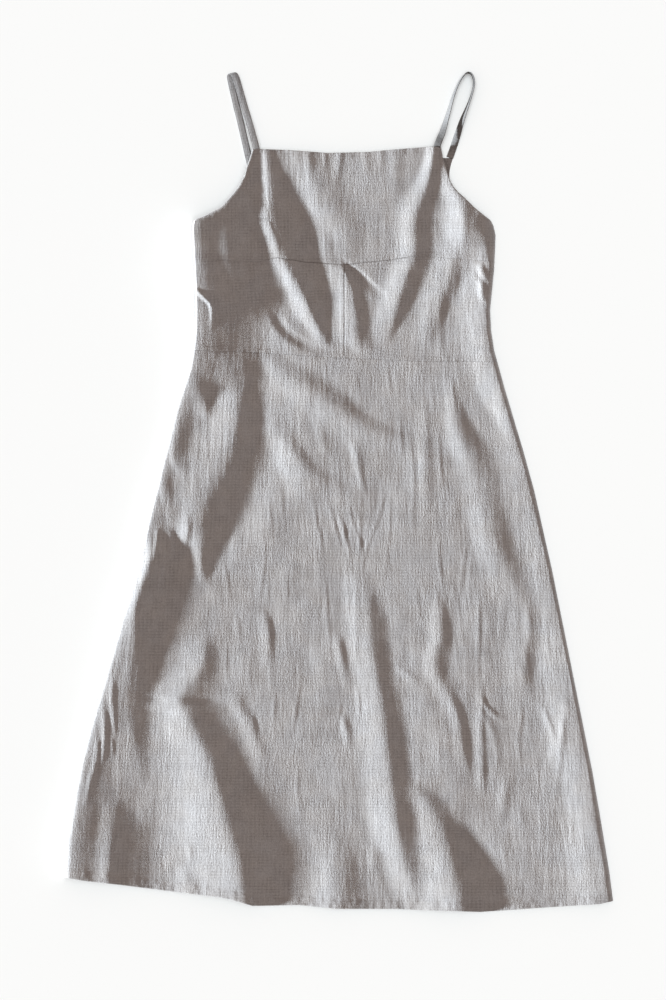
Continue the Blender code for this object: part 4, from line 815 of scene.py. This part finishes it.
# ------------------------------------------------------------------ straps
def strap(name, node, rows, folded, seed, strap_shade_amount):
    """A turned tube pressed flat, with its joining seam sunk along one edge."""
    t = np.array(rows, float)
    table = np.column_stack([np.arange(len(t), dtype=float), t])
    at = np.linspace(0, len(t) - 1, (len(t) - 1) * 12 + 1)
    x, y, z, turn = (flowing(table, at, k) for k in (1, 2, 3, 4))
    path = place(x, y, z)
    # painted shade along the strap, one amount per station
    strap_shade_amount = np.interp(np.arange(len(at)) / (len(at) - 1), np.array(strap_shade_amount)[:, 0], np.array(strap_shade_amount)[:, 1])
    run = np.gradient(path, axis=0)
    run /= np.linalg.norm(run, axis=1, keepdims=True)
    along = np.concatenate([[0], np.cumsum(np.linalg.norm(np.diff(path, axis=0), axis=1))]) / MM
    k = 28
    ang = 2 * np.pi * np.arange(k) / k
    level = np.cross(run[0], (0, 0, 1.0))
    verts, grains = [], []
    wobble = lattice(along / 14, np.full_like(along, 0.3), seed)
    fine = lattice(along / 5, np.full_like(along, 0.7), seed + 1)
    for i, (p, d, a) in enumerate(zip(path, run, np.radians(turn))):
        if not folded:
            level = level - d * np.dot(level, d)
        level = level / np.linalg.norm(level)
        up = np.cross(level, d)
        up = up / np.linalg.norm(up)
        w = level * math.cos(a) + up * math.sin(a)
        n = -level * math.sin(a) + up * math.cos(a)
        half = (STRAP_WIDE / 2 + 0.18 * wobble[i] + 0.08 * fine[i]) * MM
        thick = (STRAP_THICK / 2 * (0.94 + 0.10 * fine[i])) * MM
        c, s_ = np.cos(ang), np.sin(ang)
        su = np.sign(c) * np.abs(c)**0.42 * half
        sv = np.sign(s_) * np.abs(s_)**0.62 * thick
        cell = lattice(np.full(k, along[i] / 7), np.sin(ang) * 2 + su / MM / 3.2, seed + 2)
        sv = sv * (1 + 0.10 * cell) - np.sign(s_) * 0.28 * MM * np.exp(-((su / MM + 3.9) / 0.45)**2)
        q = p[None, :] + w[None, :] * su[:, None] + n[None, :] * sv[:, None]
        q[:, 2] = np.maximum(q[:, 2], 0.00006)
        verts.append(q)
        grains.append(np.stack([su / MM + np.where(s_ < 0, 14.0, 0.0), np.full(k, along[i]), np.zeros(k)], -1))
    verts, grains = np.array(verts), np.array(grains)
    rings = len(path)
    faces = quads(rings, k, closed=True).tolist()
    mesh = bpy.data.meshes.new(name)
    bm = bmesh.new()
    vs = [bm.verts.new(c) for c in verts.reshape(-1, 3)]
    for f in faces:
        bm.faces.new([vs[i] for i in f])
    for first, order in ((0, 1), ((rings - 1) * k, -1)):
        bm.faces.new([vs[first + j] for j in range(k)][::order])
    bmesh.ops.recalc_face_normals(bm, faces=bm.faces[:])
    bm.to_mesh(mesh)
    bm.free()
    mesh.polygons.foreach_set("use_smooth", np.ones(len(mesh.polygons), bool))
    mesh.materials.append(cloth_strap)
    thing = bpy.data.objects.new(name, mesh)
    bpy.context.scene.collection.objects.link(thing)
    # painted shade: the strap is a tube and lies double
    paint(thing, "double_layer_shade", np.full(rings * k, 0.6))
    # no painted seam shade on the straps
    paint(thing, "seam_groove_shade", np.zeros(rings * k))
    # the strap's painted shade, for the material to read
    paint(thing, "strap_shade_amount", np.repeat(strap_shade_amount, k))
    layer = mesh.attributes.new("grain", "FLOAT_VECTOR", "POINT")
    layer.data.foreach_set("vector", grains.astype(np.float32).ravel())
    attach(thing, "root")
    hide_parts(node)
    return thing, along[-1]


# the front ends run on under the turned neckline
left_rows = ((257.9, 156.0, neck_left - 2.1, 0), (257.1, 151.8, neck_left - 1.9, 0), (256.0, 147.6, neck_left - 1.5, 0)) + STRAP_LEFT[1:]
right_rows = ((436.2, 153.6, neck_right - 2.1, 0), (436.7, 149.4, neck_right - 1.8, 0), (437.5, 145.4, neck_right - 1.2, 3)) + STRAP_RIGHT[1:]
# the last argument: painted shade along each strap, by share of its length
strap_left, left_long = strap("strap_left_linen", "strap_left", left_rows, True, 301,
                              ((0, .30), (.30, .34), (.42, .5), (.62, .5), (.75, .34), (1, .30)))
strap_right, right_long = strap("strap_right_linen", "strap_right", right_rows, False, 311,
                                ((0, .72), (.14, .84), (.19, .88), (.24, .78), (.30, .70), (.36, .76), (.45, .88), (.52, .9), (.60, .88), (.70, .84), (.78, .78), (.86, .72), (.91, .62), (.95, .3), (1, .1)))


# ------------------------------------------------- floor, light and camera
def stage_floor():
    mesh = bpy.data.meshes.new("pale_floor")
    s = 14.0
    mesh.from_pydata([(-s, -s, 0), (s, -s, 0), (s, s, 0), (-s, s, 0)], [], [(0, 1, 2, 3)])
    mat, tree, shader = nodes_of("pale_floor")
    s_ = Sheet(tree)
    n = tree.nodes.new("ShaderNodeTexNoise")
    n.inputs["Scale"].default_value = 3.0
    tree.links.new(s_.mix(n.outputs[0], (0.885, 0.885, 0.885), (0.90, 0.90, 0.90)), shader.inputs["Base Color"])
    shader.inputs["Roughness"].default_value = 0.9
    shader.inputs["Specular IOR Level"].default_value = 0.1
    mesh.materials.append(mat)
    thing = bpy.data.objects.new("pale_floor", mesh)
    bpy.context.scene.collection.objects.link(thing)
    return thing


floor = stage_floor()

lift = math.radians(9.0)
toward = Vector((-math.cos(lift) * 0.9945, -math.cos(lift) * 0.1045, math.sin(lift)))
sun = bpy.data.lights.new("window_light", "SUN")
sun.energy, sun.angle, sun.color = 14.2, math.radians(4.0), (0.86, 0.95, 1.0)
key = bpy.data.objects.new("window_light", sun)
key.rotation_euler = toward.to_track_quat("Z", "Y").to_euler()
bpy.context.scene.collection.objects.link(key)

soft = bpy.data.lights.new("overhead_light", "SUN")
soft.energy, soft.angle, soft.color = 2.16, math.radians(60), (0.86, 0.96, 1.0)
overhead = bpy.data.objects.new("overhead_light", soft)
bpy.context.scene.collection.objects.link(overhead)

# the low light belongs to the cloth, the overhead one to the floor
cloth_side = bpy.data.collections.new("lit_from_the_window")
floor_side = bpy.data.collections.new("lit_from_above")
for thing in (upper, lower_left, lower_right, skirt, back_bodice, back_skirt, strap_left, strap_right):
    cloth_side.objects.link(thing)
floor_side.objects.link(floor)
key.light_linking.receiver_collection = cloth_side
overhead.light_linking.receiver_collection = floor_side

world = bpy.data.worlds.new("studio")
bpy.context.scene.world = world
world.use_nodes = True
tree = world.node_tree
w = Sheet(tree)
direction = tree.nodes.new("ShaderNodeTexCoord").outputs["Generated"]
sep = tree.nodes.new("ShaderNodeSeparateXYZ")
tree.links.new(direction, sep.inputs[0])
height_in_sky = w.fit(sep.outputs[2], 0.0, 0.25)
sky = w.mix(height_in_sky, (0.90, 0.90, 0.90), (0.485, 0.4155, 0.378))
tree.links.new(sky, tree.nodes["Background"].inputs["Color"])
tree.nodes["Background"].inputs["Strength"].default_value = 1.0

scene = bpy.context.scene
scene.view_settings.view_transform = "Standard"
cam = bpy.data.cameras.new("camera")
cam.lens, cam.sensor_width, cam.clip_end = 54.62, 36.0, 100.0
eye = bpy.data.objects.new("camera", cam)
eye.location = ((MIDDLE_X - CHART_X) * STEP, (CHART_Y - MIDDLE_Y) * STEP, 2.2)
scene.collection.objects.link(eye)
scene.camera = eye
